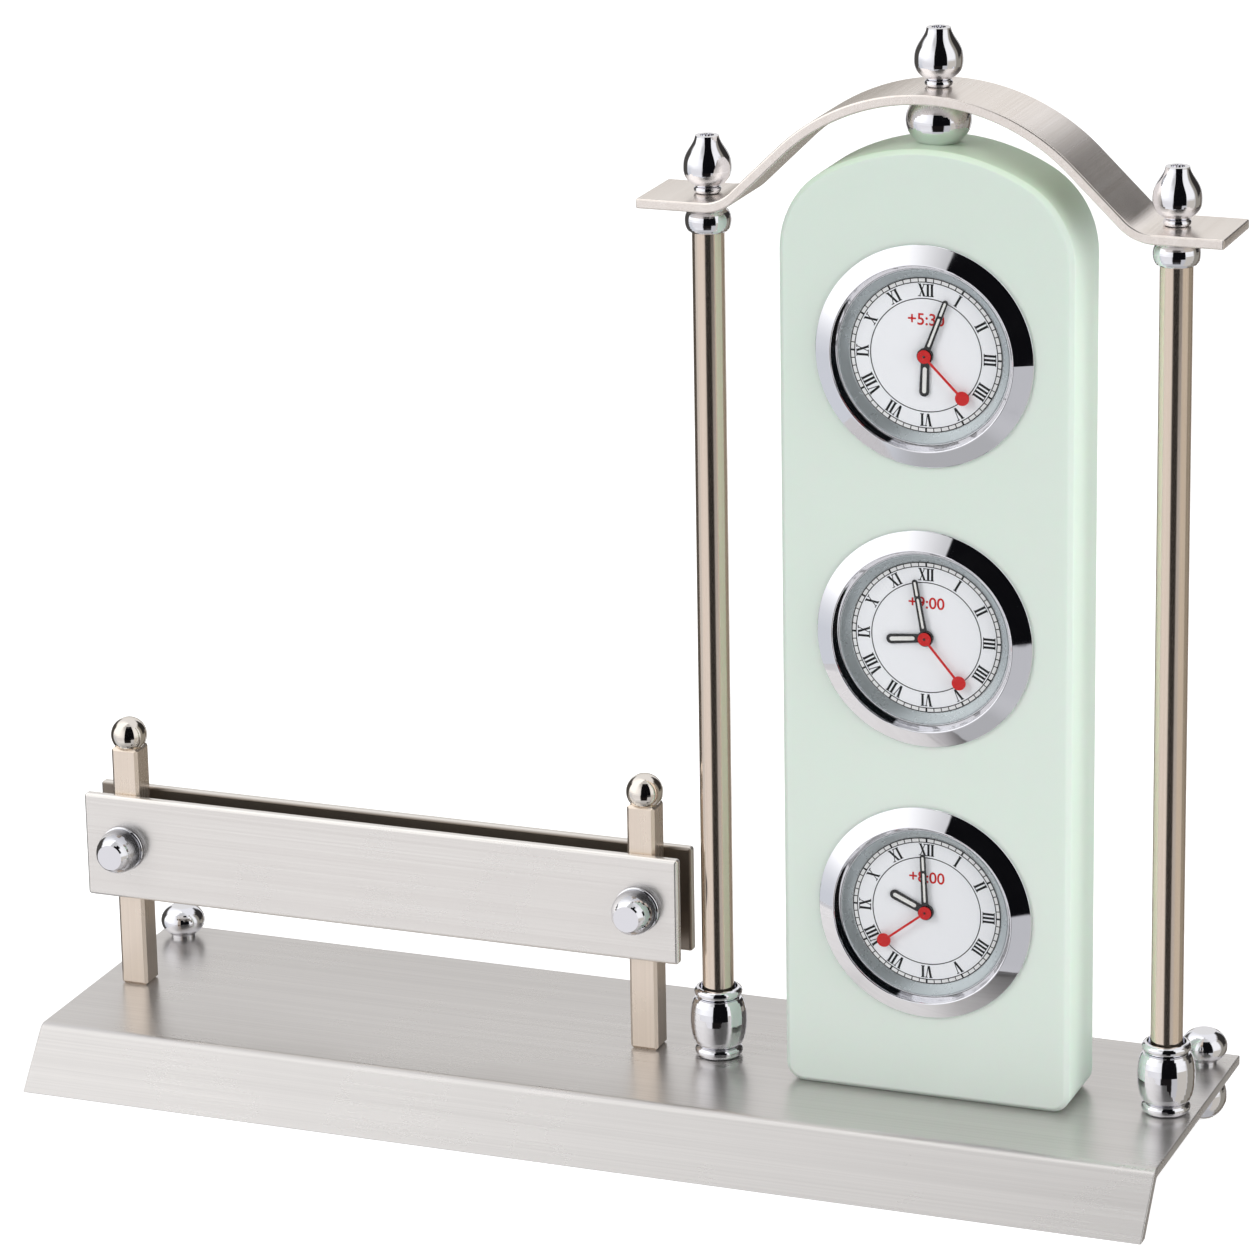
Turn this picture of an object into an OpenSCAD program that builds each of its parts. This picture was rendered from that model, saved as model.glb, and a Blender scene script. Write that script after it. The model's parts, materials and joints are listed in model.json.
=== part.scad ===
// World time desk clock: a frosted glass block with three insert clocks hangs under
// an arched strap between two pillars, and a letter rack stands beside it on the same
// bent steel base. The origin is on the table, at the middle of the part's footprint.
// +X is to the viewer's right, +Y is away from the viewer and +Z is up.

/* [Base] */
// Length of the base sheet
base_len = 272.6; // [270:0.2:290]
// Depth of the flat top, from the fold to the rear edge
base_depth = 70.7; // [66:0.1:90]
// Height of the top surface above the table
base_h = 13.3; // [12:0.1:18]
// Thickness of the sheet
sheet_t = 2.4; // [1.5:0.1:3]
// How far the folded front apron leans forward
apron_lean = 11.1; // [6:0.1:16]
// Inner radius of the fold
fold_r = 1; // [0.5:0.1:3]
// Distance of the ball feet from the rear and end edges
foot_inset = 6.7; // [6:0.1:10]
// Diameter of the balls at the rear corners
corner_ball_d = 10.7; // [8:0.1:12]
// Height of a corner ball's middle above the plate
cap_mid_h = 4.15; // [3.5:0.05:5]

/* [Letter rack] */
// Side of the square posts
post_w = 6.8; // [6:0.1:9]
// Height of the posts above the plate
post_h = 59.8; // [50:0.1:75]
// Bevel on the posts' edges
post_bevel = 0.7; // [0.3:0.1:1.2]
// Distance of the posts' axes from the ends of the rack plates
post_inset = 9.9; // [7:0.1:14]
// Diameter of the balls on the posts
post_ball_d = 8.6; // [7:0.1:10]
// Distance between the rack plates' right end and the left pillar's axis
rack_gap = 7.5; // [5:0.1:14]
// Height of the two rack plates
rack_h = 25.6; // [18:0.1:32]
// Thickness of the two rack plates
rack_t = 2.5; // [1.5:0.1:3.5]
// Height of the rack plates' lower edge above the plate
rack_z = 22.9; // [15:0.1:26]
// Bevel on the rack plates' edges
rack_bevel = 0.6; // [0.2:0.1:1]
// Diameter of the domed knobs
knob_d = 11; // [9:0.1:14]
// How far the domed knobs stand out
knob_h = 7.4; // [6:0.1:9]

/* [Clock frame] */
// Distance of the right pillar's axis from the right end of the base
pillar_inset = 7.1; // [6.8:0.1:10]
// Distance of the pillars' axes behind the fold
axis_y = 33.2; // [30:0.1:42]
// Distance between the pillars' axes
pillar_gap = 107; // [98:0.2:112]
// Diameter of the pillars
pillar_d = 7.3; // [6:0.1:8.5]
// Height of the strap's underside above the plate, at the pillars
pillar_h = 201.9; // [196:0.1:215]
// Height of the turned sockets
socket_h = 16.9; // [14:0.1:22]
// Diameter of the sockets' barrel
socket_d = 13.2; // [12:0.1:16]
// Diameter of the sockets' end rings
ring_d = 11.2; // [10.6:0.1:13]
// Diameter of the collars' bead
collar_d = 10.4; // [9.4:0.1:12]
// Height of the collars
collar_h = 6.4; // [5:0.1:9]

/* [Arched strap] */
// Distance of the strap's ends from the pillars' axes
strap_end = 13.2; // [8:0.1:18]
// Width of the flat bar
strap_w = 20.6; // [16:0.1:24]
// Thickness of the flat bar
strap_t = 2.3; // [1.5:0.1:3]
// Rise of the crown above the flat ends
strap_rise = 27.1; // [24:0.1:32]
// Radius of the two foot bends, on the inside
bend_r = 9; // [4:0.2:14]
// Distance of the foot bends from the pillars' axes
bend_gap = 2.3; // [2.3:0.1:6]
// Diameter of the finials
finial_d = 10.7; // [9:0.1:13]
// Height of the finials
finial_h = 12.9; // [11:0.1:17]
// Diameter of the spacer ball between strap and block
spacer_d = 14.4; // [12:0.1:16]
// Gap between the block's top and the strap's crown, which the spacer fills
crown_gap = 9.8; // [7:0.1:14]

/* [Glass block] */
// Width of the block
block_w = 67.4; // [64:0.2:74]
// Thickness of the block
block_t = 20; // [18:0.2:22]
// Radius of the arched top
arch_r = 47; // [42:0.5:56]
// Radius of the shoulders
shoulder_r = 21; // [8:0.5:26]
// Radius of the bottom corners
heel_r = 4.4; // [2:0.2:8]
// Bevel round the front and rear faces
block_bevel = 1.1; // [0.5:0.1:2]

/* [Insert clocks] */
// Outer diameter of the chrome bezels
bezel_d = 50; // [46:0.5:54]
// Diameter of the pockets in the block
pocket_d = 43.2; // [43:0.1:44]
// Depth of the pockets
pocket_depth = 12.4; // [12.2:0.1:14]
// Height of the bottom clock's centre above the plate
clock_low = 44.7; // [40:0.1:50]
// Distance of the top clock's centre below the block's top
clock_high = 45.7; // [40:0.1:60]
// How far the bezel's lip stands out from the block
bezel_h = 2.8; // [2.2:0.1:3.5]
// Radius of the bezel's lip, inside
lip_r = 20.7; // [20.4:0.1:21.3]
// Length of the hour hands
hour_len = 9.2; // [7:0.1:11]
// Length of the minute hands
minute_len = 13.7; // [11:0.1:15]
// Length of the second hands
second_len = 13.2; // [12.4:0.1:13.8]

/* [Hidden] */

$fn = 72;
// Overrun of every cut past the face it starts from
cut = 1;
// Steps in a rounded stretch of an outline
arc_steps = 12;
// Radial clearance of a screw, rod or stud in its hole
slip = 0.1;

// Colours
steel = [0.83, 0.82, 0.81];
champagne = [0.78, 0.72, 0.67];
chrome = [0.9, 0.9, 0.92];
mint = [0.78, 0.88, 0.82];

// Screw sizes: M3 and M4
m3_d = 3;
m4_d = 4;
// Pan heads: width and height as shares of the screw's diameter
head_d_share = 1.9;
head_h_share = 0.62;
slot_w_share = 0.28;
slot_depth_share = 0.3;

// Places in the part's frame
strap_len = pillar_gap + 2 * strap_end;
base_x = -max(0, strap_end - pillar_inset) / 2;
fold_y = (apron_lean - base_depth) / 2;
frame_y = fold_y + axis_y;
base_left = base_x - base_len / 2;
clock_x = base_left + base_len - pillar_inset - pillar_gap / 2;
rack_len = base_len - pillar_inset - pillar_gap - rack_gap;
rack_x = base_left + rack_len / 2;
left_post_x = base_left + post_inset;
right_post_x = base_left + rack_len - post_inset;
rack_mid_z = base_h + rack_z + rack_h / 2;
foot_xs = [base_left + foot_inset, base_left + base_len - foot_inset];
foot_y = fold_y + base_depth - foot_inset;
pillar_xs = [clock_x - pillar_gap / 2, clock_x + pillar_gap / 2];
post_xs = [left_post_x, right_post_x];
strap_z = base_h + pillar_h;
crown_z = strap_z + strap_rise;
block_y = frame_y - block_t / 2;
block_h = pillar_h + strap_rise - crown_gap;
block_top = base_h + block_h;
clock_pitch = (block_h - clock_low - clock_high) / 2;
clock_zs = [
    base_h + clock_low + 2 * clock_pitch,
    base_h + clock_low + clock_pitch,
    base_h + clock_low
];

// Strap: the largest sum of crown and bend radii for which it has a slope between them, the
// share of it that is used, the middles of crown and left bend, and the slope in degrees
bend_x = pillar_gap / 2 - bend_gap;
fullness_share = 0.926;
radii = fullness_share * (bend_x * bend_x + strap_rise * strap_rise) / (2 * strap_rise);
crown_r = radii - bend_r - strap_t;
crown_c = [0, strap_rise - crown_r];
bend_c = [-bend_x, bend_r + strap_t];
slope_run = bend_c - crown_c;
slope_deg = asin(radii / norm(slope_run)) - atan2(slope_run[1], -slope_run[0]);

// Apron: its angle below the flat top, and the fold's outer radius
apron_deg = atan2(base_h, apron_lean);
fold_out_r = fold_r + sheet_t;
fold_tangent = fold_out_r * tan(apron_deg / 2);
apron_foot = sheet_t / sin(apron_deg);

// Screws under the base
block_screw_inset = 11;
block_screw_depth = 10;
post_screw_depth = 8;
tie_in_finial = 8;
stud_in_block = 9;
stud_in_finial = 8;
foot_stud_reach = 4;
knob_screw_depth = 4.6;

// Collar and socket details
collar_bead_h = 5;
collar_foot_wall = 0.2;
collar_neck_d = 8.3;
socket_mouth_d = 8.9;
socket_mouth_depth = 3.4;
ring_h = 2.8;
mouth_ring_h = 2.3;
waist_d = 9.9;

// Finial profile, as shares of its diameter and height
neck_d_share = 0.58;
neck_h_share = 0.12;
waist_d_share = 0.5;
belly_h_share = 0.42;
tip_d_share = 0.5;
tip_recess_d_share = 0.29;
tip_recess_h_share = 0.06;
shoulder_power = 1.4;

// Corner balls and spacer, as shares of their diameter
ball_neck_share = 0.55;
ball_flat_share = 0.5;
foot_flat_share = 0.36;
ball_neck_h = 0.65;
post_ball_drop_share = 0.6;
spacer_flat_share = 0.64;

// Domed knob profile, as shares of its diameter and height
knob_flange_share = 0.13;
knob_groove_share = 0.9;
knob_dome_share = 0.95;
knob_face_share = 0.56;
knob_groove_h_share = 1.3;

// Insert clock: distances out of the block's face are positive towards the viewer
grip_wall = 1;
case_r = pocket_d / 2 - grip_wall;
case_wall = 0.6;
case_back = -9.6;
back_t = 0.8;
skirt_end = -2.4;
skirt_t = 0.8;
ledge_w = 0.8;
ledge_r = lip_r - ledge_w;
ledge_out = 0.9;
lens_t = 1.2;
edge_out = 0.7;
lip_w = 0.5;
dial_out = -1;
dial_t = 0.5;
rim_r = ledge_r - slip;
rim_w = 2.1;
dial_r = rim_r - rim_w;
rim_out = 0.75;
movement_r = 17;
battery_d = 11.6;
battery_t = 5.4;
battery_off = 10;
battery_cap_share = 0.84;
battery_step_share = 0.8;
grip_from = -2.8;
grip_to = -7.8;
grip_groove = 0.3;
knob_out = -10;
set_knob_t = 1.6;
set_knob_r = 4;
flute_r = 0.35;
set_stem_r = 1;
set_stem_in = 1.2;
hand_t = 0.25;
hour_out = -0.7;
minute_out = -0.15;
second_out = 0.35;
hour_pipe = [0.87, 1.2, 2.6];
minute_pipe = [0.47, 0.79, 3.6];
second_pin_r = 0.39;
second_pin_in = 4.4;
pipe_slip = 0.08;
hub_r = 1.8;
second_hub_r = 1.5;
hour_w = 2.25;
hour_root_w = 1.85;
minute_w = 1.3;
minute_root_w = 1.6;
second_w = 0.5;
second_disc_r = 1.6;
second_disc_at = 12.3;
lume_share = 0.42;
hour_gap_share = 0.33;
minute_split_share = 0.68;
// Hand angles on each clock, clockwise from twelve: hour, minute, second
hand_angles = [[182, 21, 135], [264, -10.5, 139.6], [294, -2.8, 232]];

// Points of an arc of an ellipse
function arc(c, rx, ry, a0, a1, n = arc_steps) =
    [for (i = [0:n]) let (a = a0 + (a1 - a0) * i / n) c + [rx * cos(a), ry * sin(a)]];

// Rectangle with its corners cut at 45 degrees
function bevelled(w, h, b) = [
    [-w / 2 + b, -h / 2], [w / 2 - b, -h / 2], [w / 2, -h / 2 + b], [w / 2, h / 2 - b],
    [w / 2 - b, h / 2], [-w / 2 + b, h / 2], [-w / 2, h / 2 - b], [-w / 2, -h / 2 + b]
];

// Turns a profile of [radius, height] points about +Z
module turned(points) {
    rotate_extrude() polygon(points);
}

// Bar along Y from y0 to y1, with its outline in X and Z
module along_y(y0, y1) {
    translate([0, y1, 0]) rotate([90, 0, 0]) linear_extrude(y1 - y0) children();
}

// Turns +Z to face the viewer
module facing(x, y, z) {
    translate([x, y, z]) rotate([90, 0, 0]) children();
}

// Pan-head machine screw pointing up, with its head below the origin
module pan_screw(d, length) {
    head_d = d * head_d_share;
    head_h = d * head_h_share;
    slot_w = d * slot_w_share;
    difference() {
        union() {
            turned(concat([[0, 0], [0, -head_h]],
                arc([0, -head_h / 2], head_d / 2, head_h / 2, -60, 0), [[head_d / 2, 0]]));
            cylinder(h = length, d = d);
        }
        translate([-head_d / 2 - cut, -slot_w / 2, -head_h - cut])
            cube([head_d + 2 * cut, slot_w, cut + d * slot_depth_share]);
    }
}

// Ball with a flat end: r and h are the ellipse's half axes, lo and hi its ends
function ball_side(r, h, mid, lo, hi) =
    arc([0, mid], r, h, -asin(lo / h), asin(hi / h), 2 * arc_steps);

module base_plate() {
    y_rear = fold_y + base_depth;
    outer = arc([fold_y + fold_tangent, base_h - fold_out_r], fold_out_r, fold_out_r,
        90, 90 + apron_deg);
    inner = arc([fold_y + fold_tangent, base_h - fold_out_r], fold_r, fold_r,
        90 + apron_deg, 90);
    profile = concat([[y_rear, base_h]], outer, [[fold_y - apron_lean, 0]],
        [[fold_y - apron_lean + apron_foot, 0]], inner, [[y_rear, base_h - sheet_t]]);
    color(steel) difference() {
        translate([base_left, 0, 0]) rotate([90, 0, 90]) linear_extrude(base_len)
            polygon(profile);
        for (x = pillar_xs) plate_hole(x, frame_y, m4_d);
        for (x = post_xs) plate_hole(x, frame_y, m3_d);
        for (x = foot_xs) plate_hole(x, foot_y, m3_d);
        for (s = [-1, 1]) plate_hole(clock_x + s * (block_w / 2 - block_screw_inset), frame_y, m4_d);
    }
}

module plate_hole(x, y, d) {
    translate([x, y, base_h - sheet_t - cut]) cylinder(h = sheet_t + 2 * cut, d = d + 2 * slip);
}

// Square post with bevelled edges, on its own axis
module post(x) {
    color(champagne) translate([x, frame_y, base_h]) difference() {
        intersection() {
            linear_extrude(post_h) polygon(bevelled(post_w, post_w, post_bevel));
            translate([0, 0, post_h / 2]) along_y(-post_w, post_w)
                polygon(bevelled(post_w, post_h, post_bevel));
            translate([0, 0, post_h / 2]) rotate([0, 0, 90]) along_y(-post_w, post_w)
                polygon(bevelled(post_w, post_h, post_bevel));
        }
        translate([0, 0, -cut]) cylinder(h = post_screw_depth + cut, d = m3_d + 2 * slip);
        translate([0, post_w, rack_z + rack_h / 2]) rotate([90, 0, 0])
            cylinder(h = 2 * post_w, d = m3_d + 2 * slip);
        translate([0, 0, post_h - foot_stud_reach - slip])
            cylinder(h = foot_stud_reach + slip + cut, d = m3_d + 2 * slip);
    }
}

// Polished balls on the posts, each with its threaded stud
module post_balls() {
    r = post_ball_d / 2;
    lo = r * post_ball_drop_share;
    color(champagne) for (x = post_xs) translate([x, frame_y, base_h + post_h]) {
        turned(concat([[0, -foot_stud_reach], [m3_d / 2, -foot_stud_reach], [m3_d / 2, 0]],
            ball_side(r, r, lo, lo, r)));
    }
}

// Bevelled flat plate of the rack, with its front face at y
module rack_plate(y) {
    color(steel) difference() {
        intersection() {
            translate([rack_x, 0, rack_mid_z]) along_y(y, y + rack_t)
                polygon(bevelled(rack_len, rack_h, rack_bevel));
            translate([rack_x, y + rack_t / 2, rack_mid_z - rack_h])
                linear_extrude(2 * rack_h) polygon(bevelled(rack_len, rack_t, rack_bevel));
            translate([rack_x - rack_len, y + rack_t / 2, rack_mid_z]) rotate([90, 0, 90])
                linear_extrude(2 * rack_len) polygon(bevelled(rack_t, rack_h, rack_bevel));
        }
        for (x = post_xs) translate([x, y + rack_t + cut, rack_mid_z]) rotate([90, 0, 0])
            cylinder(h = rack_t + 2 * cut, d = m3_d + 2 * slip);
    }
}

module front_nameplate() {
    rack_plate(frame_y - post_w / 2 - rack_t);
}

module rear_nameplate() {
    rack_plate(frame_y + post_w / 2);
}

// Domed knobs that clamp the front plate
module plate_knobs() {
    r = knob_d / 2;
    flange = knob_h * knob_flange_share;
    face_r = r * knob_face_share;
    dome_r = r * knob_dome_share;
    dome_h = knob_h - 2 * flange;
    rise = acos(face_r / dome_r);
    color(chrome) for (x = post_xs) facing(x, frame_y - post_w / 2 - rack_t, rack_mid_z)
        difference() {
            turned(concat([[0, 0]], arc([r - flange / 2, flange / 2], flange / 2, flange / 2, -90, 90),
                [[r * knob_groove_share, flange * knob_groove_h_share]],
                arc([0, 2 * flange], dome_r, dome_h / sin(rise), 0, rise), [[0, knob_h]]));
            translate([0, 0, -cut]) cylinder(h = knob_screw_depth + slip + cut, d = m3_d + 2 * slip);
        }
}

// Screws that pass through the rear plate, post and front plate into the knobs
module plate_screws() {
    y_head = frame_y + post_w / 2 + rack_t;
    color(chrome) for (x = post_xs) facing(x, y_head, rack_mid_z)
        pan_screw(m3_d, post_w + 2 * rack_t + knob_screw_depth);
}

module post_screws() {
    color(steel) for (x = post_xs) translate([x, frame_y, base_h - sheet_t])
        pan_screw(m3_d, sheet_t + post_screw_depth - slip);
}

module pillar(x) {
    color(champagne) translate([x, frame_y, base_h]) difference() {
        cylinder(h = pillar_h, d = pillar_d);
        translate([0, 0, -cut]) cylinder(h = pillar_h + 2 * cut, d = m4_d + 4 * slip);
    }
}

// Turned socket: a lower ring, a barrel and an upper ring with an open mouth
module socket(x) {
    bore = pillar_d / 2 + slip;
    waist = waist_d / 2;
    low = ring_h;
    high = socket_h - mouth_ring_h;
    mouth = socket_mouth_d / 2;
    color(chrome) translate([x, frame_y, base_h]) turned(concat(
        [[bore, 0]],
        arc([ring_d / 2 - ring_h / 2, ring_h / 2], ring_h / 2, ring_h / 2, -90, 90),
        arc([waist, (low + high) / 2], socket_d / 2 - waist, (high - low) / 2 - slip, -90, 90),
        arc([ring_d / 2 - mouth_ring_h / 2, socket_h - mouth_ring_h / 2],
            mouth_ring_h / 2, mouth_ring_h / 2, -90, 90),
        [[mouth, socket_h], [mouth, socket_h - socket_mouth_depth],
            [bore, socket_h - socket_mouth_depth]]));
}

// Turned collar: a bead with a neck that reaches the strap
module collar(x) {
    bore = pillar_d / 2 + slip;
    neck = collar_neck_d / 2;
    half = collar_bead_h / 2;
    foot = bore + collar_foot_wall;
    color(chrome) translate([x, frame_y, strap_z - collar_h]) turned(concat(
        [[bore, 0]],
        arc([foot, half], collar_d / 2 - foot, half, -80, 70),
        [[neck, collar_bead_h], [neck, collar_h], [bore, collar_h]]));
}

// Long screws from under the base, through the pillars, into the finials
module tie_screws() {
    color(steel) for (x = pillar_xs) translate([x, frame_y, base_h - sheet_t])
        pan_screw(m4_d, sheet_t + pillar_h + strap_t + tie_in_finial);
}

// Half of the strap's lower line, from the end to the crown, as [x, z] points
function strap_line(grow) =
    let (
        r_crown = crown_r + grow,
        r_bend = bend_r + strap_t - grow
    )
    concat([[-strap_len / 2, grow]],
        [for (i = [0:arc_steps]) let (a = slope_deg * i / arc_steps)
            bend_c + r_bend * [sin(a), -cos(a)]],
        [for (i = [0:2 * arc_steps]) let (a = slope_deg * (1 - i / (2 * arc_steps)))
            crown_c + r_crown * [-sin(a), cos(a)]]);

function mirrored(points) = [for (i = [len(points) - 1:-1:0]) [-points[i][0], points[i][1]]];

module arch_strap() {
    under = strap_line(0);
    over = strap_line(strap_t);
    outline = concat(under, mirrored(under), over_back(over));
    color(champagne) difference() {
        translate([clock_x, 0, strap_z]) along_y(frame_y - strap_w / 2, frame_y + strap_w / 2)
            polygon(outline);
        for (x = concat(pillar_xs, [clock_x])) translate([x, frame_y, strap_z - cut])
            cylinder(h = strap_rise + strap_t + 2 * cut, d = m4_d + 2 * slip);
    }
}

// The strap's upper line from the right end back to the left end
function over_back(over) =
    let (right = mirrored(over))
    [for (i = [len(over) + len(right) - 1:-1:0]) i < len(over) ? over[i] : right[i - len(over)]];

// Pear-shaped finial on a neck disc, with a recess in its flat top
module finial(x, z, bore_depth) {
    r = finial_d / 2;
    neck_h = finial_h * neck_h_share;
    waist = r * waist_d_share;
    belly = finial_h * belly_h_share;
    tip = r * tip_d_share;
    low_h = (belly - neck_h) / sin(acos(waist / r));
    recess = finial_h * tip_recess_h_share;
    shoulder = [for (i = [1:2 * arc_steps]) let (t = i / (2 * arc_steps))
        [tip + (r - tip) * (1 + cos(180 * pow(t, shoulder_power))) / 2, belly + (finial_h - belly) * t]];
    color(chrome) translate([x, frame_y, z]) difference() {
        turned(concat([[0, 0]], arc([r * neck_d_share - neck_h / 2, neck_h / 2],
                neck_h / 2, neck_h / 2, -90, 90),
            arc([0, belly], r, low_h, -acos(waist / r), 0), shoulder, [[0, finial_h]]));
        translate([0, 0, -cut]) cylinder(h = bore_depth + slip + cut, d = m4_d + 2 * slip);
        translate([0, 0, finial_h - recess]) cylinder(h = recess + cut, r = r * tip_recess_d_share);
    }
}

// Flattened ball that fills the gap between the block and the strap's crown
module arch_spacer() {
    r = spacer_d / 2;
    flat = r * spacer_flat_share;
    crown_dip = crown_r - sqrt(crown_r * crown_r - flat * flat);
    height = crown_z - crown_dip - block_top;
    side_h = height / 2 / sin(acos(spacer_flat_share));
    color(chrome) translate([clock_x, frame_y, block_top]) difference() {
        turned(concat([[0, 0]], ball_side(r, side_h, height / 2, height / 2, height / 2),
            [[0, height]]));
        translate([0, 0, -cut]) cylinder(h = height + 2 * cut, d = m4_d + 2 * slip);
    }
}

module centre_stud() {
    color(steel) translate([clock_x, frame_y, block_top - stud_in_block])
        cylinder(h = crown_z + strap_t + stud_in_finial - block_top + stud_in_block, d = m4_d);
}

// Outline of the block's face, drawn in by inset, as [x, z] points
function block_outline(inset) =
    let (
        half = block_w / 2,
        arch_c = [0, block_h - arch_r],
        side = half - shoulder_r,
        lift = sqrt(pow(arch_r - shoulder_r, 2) - side * side),
        shoulder_z = arch_c[1] + lift,
        turn = atan2(lift, side)
    )
    concat(
        arc([-half + heel_r, heel_r], heel_r - inset, heel_r - inset, 180, 270),
        arc([half - heel_r, heel_r], heel_r - inset, heel_r - inset, 270, 360),
        arc([side, shoulder_z], shoulder_r - inset, shoulder_r - inset, 0, turn),
        arc(arch_c, arch_r - inset, arch_r - inset, turn, 180 - turn, 2 * arc_steps),
        arc([-side, shoulder_z], shoulder_r - inset, shoulder_r - inset, 180 - turn, 180));

// Thin slice of the block at y, for its bevels
module block_slice(y, inset) {
    slice = slip / 2;
    along_y(y - slice / 2, y + slice / 2) polygon(block_outline(inset));
}

module glass_block() {
    edge = slip / 4;
    color(mint) difference() {
        translate([clock_x, block_y, base_h]) {
            along_y(block_bevel, block_t - block_bevel) polygon(block_outline(0));
            hull() {
                block_slice(edge, block_bevel);
                block_slice(block_bevel, 0);
            }
            hull() {
                block_slice(block_t - block_bevel, 0);
                block_slice(block_t - edge, block_bevel);
            }
        }
        for (z = clock_zs) facing(clock_x, block_y, z) translate([0, 0, -pocket_depth])
            cylinder(h = pocket_depth + cut, d = pocket_d);
        for (s = [-1, 1]) translate([clock_x + s * (block_w / 2 - block_screw_inset), frame_y, base_h - cut])
            cylinder(h = block_screw_depth + cut, d = m4_d + 2 * slip);
        translate([clock_x, frame_y, block_top - stud_in_block - slip])
            cylinder(h = stud_in_block + slip + cut, d = m4_d + 2 * slip);
    }
}

module block_screws() {
    color(steel) for (s = [-1, 1])
        translate([clock_x + s * (block_w / 2 - block_screw_inset), frame_y, base_h - sheet_t])
            pan_screw(m4_d, sheet_t + block_screw_depth - slip);
}

// Balls on top of the rear corners
module cap_balls() {
    r = corner_ball_d / 2;
    neck = r * ball_neck_share;
    half_h = (cap_mid_h - ball_neck_h) / sin(acos(ball_neck_share));
    top = half_h * sin(acos(ball_flat_share));
    color(chrome) for (x = foot_xs) translate([x, foot_y, base_h]) difference() {
        turned(concat([[0, 0], [neck, 0]],
            ball_side(r, half_h, cap_mid_h, cap_mid_h - ball_neck_h, top), [[0, cap_mid_h + top]]));
        translate([0, 0, -cut]) cylinder(h = foot_stud_reach + slip + cut, d = m3_d + 2 * slip);
    }
}

// Balls that the rear corners stand on
module ball_feet() {
    r = corner_ball_d / 2;
    neck = r * ball_neck_share;
    height = base_h - sheet_t;
    flat_drop = sin(acos(foot_flat_share));
    neck_rise = sin(acos(ball_neck_share));
    half_h = (height - ball_neck_h) / (flat_drop + neck_rise);
    mid = half_h * flat_drop;
    color(chrome) for (x = foot_xs) translate([x, foot_y, 0]) difference() {
        turned(concat([[0, 0]], ball_side(r, half_h, mid, mid, half_h * neck_rise),
            [[neck, height], [0, height]]));
        translate([0, 0, height - foot_stud_reach - slip])
            cylinder(h = foot_stud_reach + slip + cut, d = m3_d + 2 * slip);
    }
}

module foot_studs() {
    color(steel) for (x = foot_xs) translate([x, foot_y, base_h - sheet_t - foot_stud_reach])
        cylinder(h = sheet_t + 2 * foot_stud_reach, d = m3_d);
}

// Places a piece of clock n, whose own +Z is out of the block's face
module at_clock(n) {
    facing(clock_x, block_y, clock_zs[n]) children();
}

module bezel(n) {
    r = bezel_d / 2;
    lip_top = lip_r + lip_w;
    skirt_in = case_r + slip / 2;
    color(chrome) at_clock(n) turned(concat(
        [[skirt_in, 0], [skirt_in, skirt_end], [skirt_in + skirt_t, skirt_end],
            [skirt_in + skirt_t, 0], [r, 0]],
        arc([r - edge_out / 2, edge_out / 2], edge_out / 2, edge_out / 2, 0, 60, 4),
        arc([lip_top - lip_w / 2, bezel_h - lip_w / 2], lip_w / 2, lip_w / 2, 60, 180, 6),
        [[lip_r, ledge_out], [ledge_r, ledge_out], [ledge_r, 0]]));
}

module lens(n) {
    r = lip_r - slip / 2;
    color([0.9, 0.95, 1, 0.3]) at_clock(n) turned([[0, ledge_out], [r, ledge_out],
        [r, ledge_out + lens_t - slip], [r - slip, ledge_out + lens_t], [0, ledge_out + lens_t]]);
}

// Dial with its raised, sloping rim
module dial(n) {
    hole = hour_pipe[1] + 2 * slip;
    color([0.86, 0.86, 0.88]) at_clock(n) turned([
        [hole, dial_out], [dial_r, dial_out], [rim_r - dial_t, rim_out], [rim_r, rim_out],
        [rim_r, rim_out - dial_t / 2], [dial_r + dial_t / 2, dial_out - dial_t],
        [hole, dial_out - dial_t]]);
}

// Pressed metal can that closes the insert from behind
module case(n) {
    color([0.75, 0.75, 0.77]) at_clock(n) turned([
        [set_stem_r + 2 * slip, case_back], [case_r - case_wall / 2, case_back],
        [case_r, case_back + case_wall / 2], [case_r, 0], [case_r - case_wall, 0],
        [case_r - case_wall, case_back + back_t], [set_stem_r + 2 * slip, case_back + back_t]]);
}

// Ribbed ring that grips the pocket's wall
module grip_ring(n) {
    inner = case_r + slip / 2;
    outer = pocket_d / 2 - slip;
    ribs = 4;
    step = (grip_from - grip_to) / (2 * ribs - 1);
    side = [for (i = [0:2 * ribs - 1]) for (k = [0, 1])
        let (z = grip_to + step * (i + k))
        if (i + k <= 2 * ribs - 1) [outer - (i % 2 == 0 ? 0 : grip_groove), z]];
    color([0.2, 0.2, 0.2]) at_clock(n)
        turned(concat([[inner, grip_to]], side, [[inner, grip_from]]));
}

module movement(n) {
    front = dial_out - dial_t;
    rear = case_back + back_t;
    color([0.93, 0.93, 0.9]) at_clock(n) difference() {
        translate([0, 0, rear]) cylinder(h = front - rear, r = movement_r);
        translate([0, 0, hour_out - hour_pipe[2] - slip])
            cylinder(h = hour_pipe[2] + cut, r = hour_pipe[1] + pipe_slip);
        translate([0, 0, minute_out - minute_pipe[2] - slip])
            cylinder(h = minute_pipe[2] + cut, r = minute_pipe[1] + pipe_slip);
        translate([0, 0, second_out - second_pin_in - slip])
            cylinder(h = second_pin_in + cut, r = second_pin_r + pipe_slip);
        translate([0, 0, rear - cut])
            cylinder(h = cut + set_stem_in + slip, r = set_stem_r + pipe_slip);
        translate([0, -battery_off, rear - cut])
            cylinder(h = cut + battery_t + slip, d = battery_d + 2 * slip);
    }
}

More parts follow.
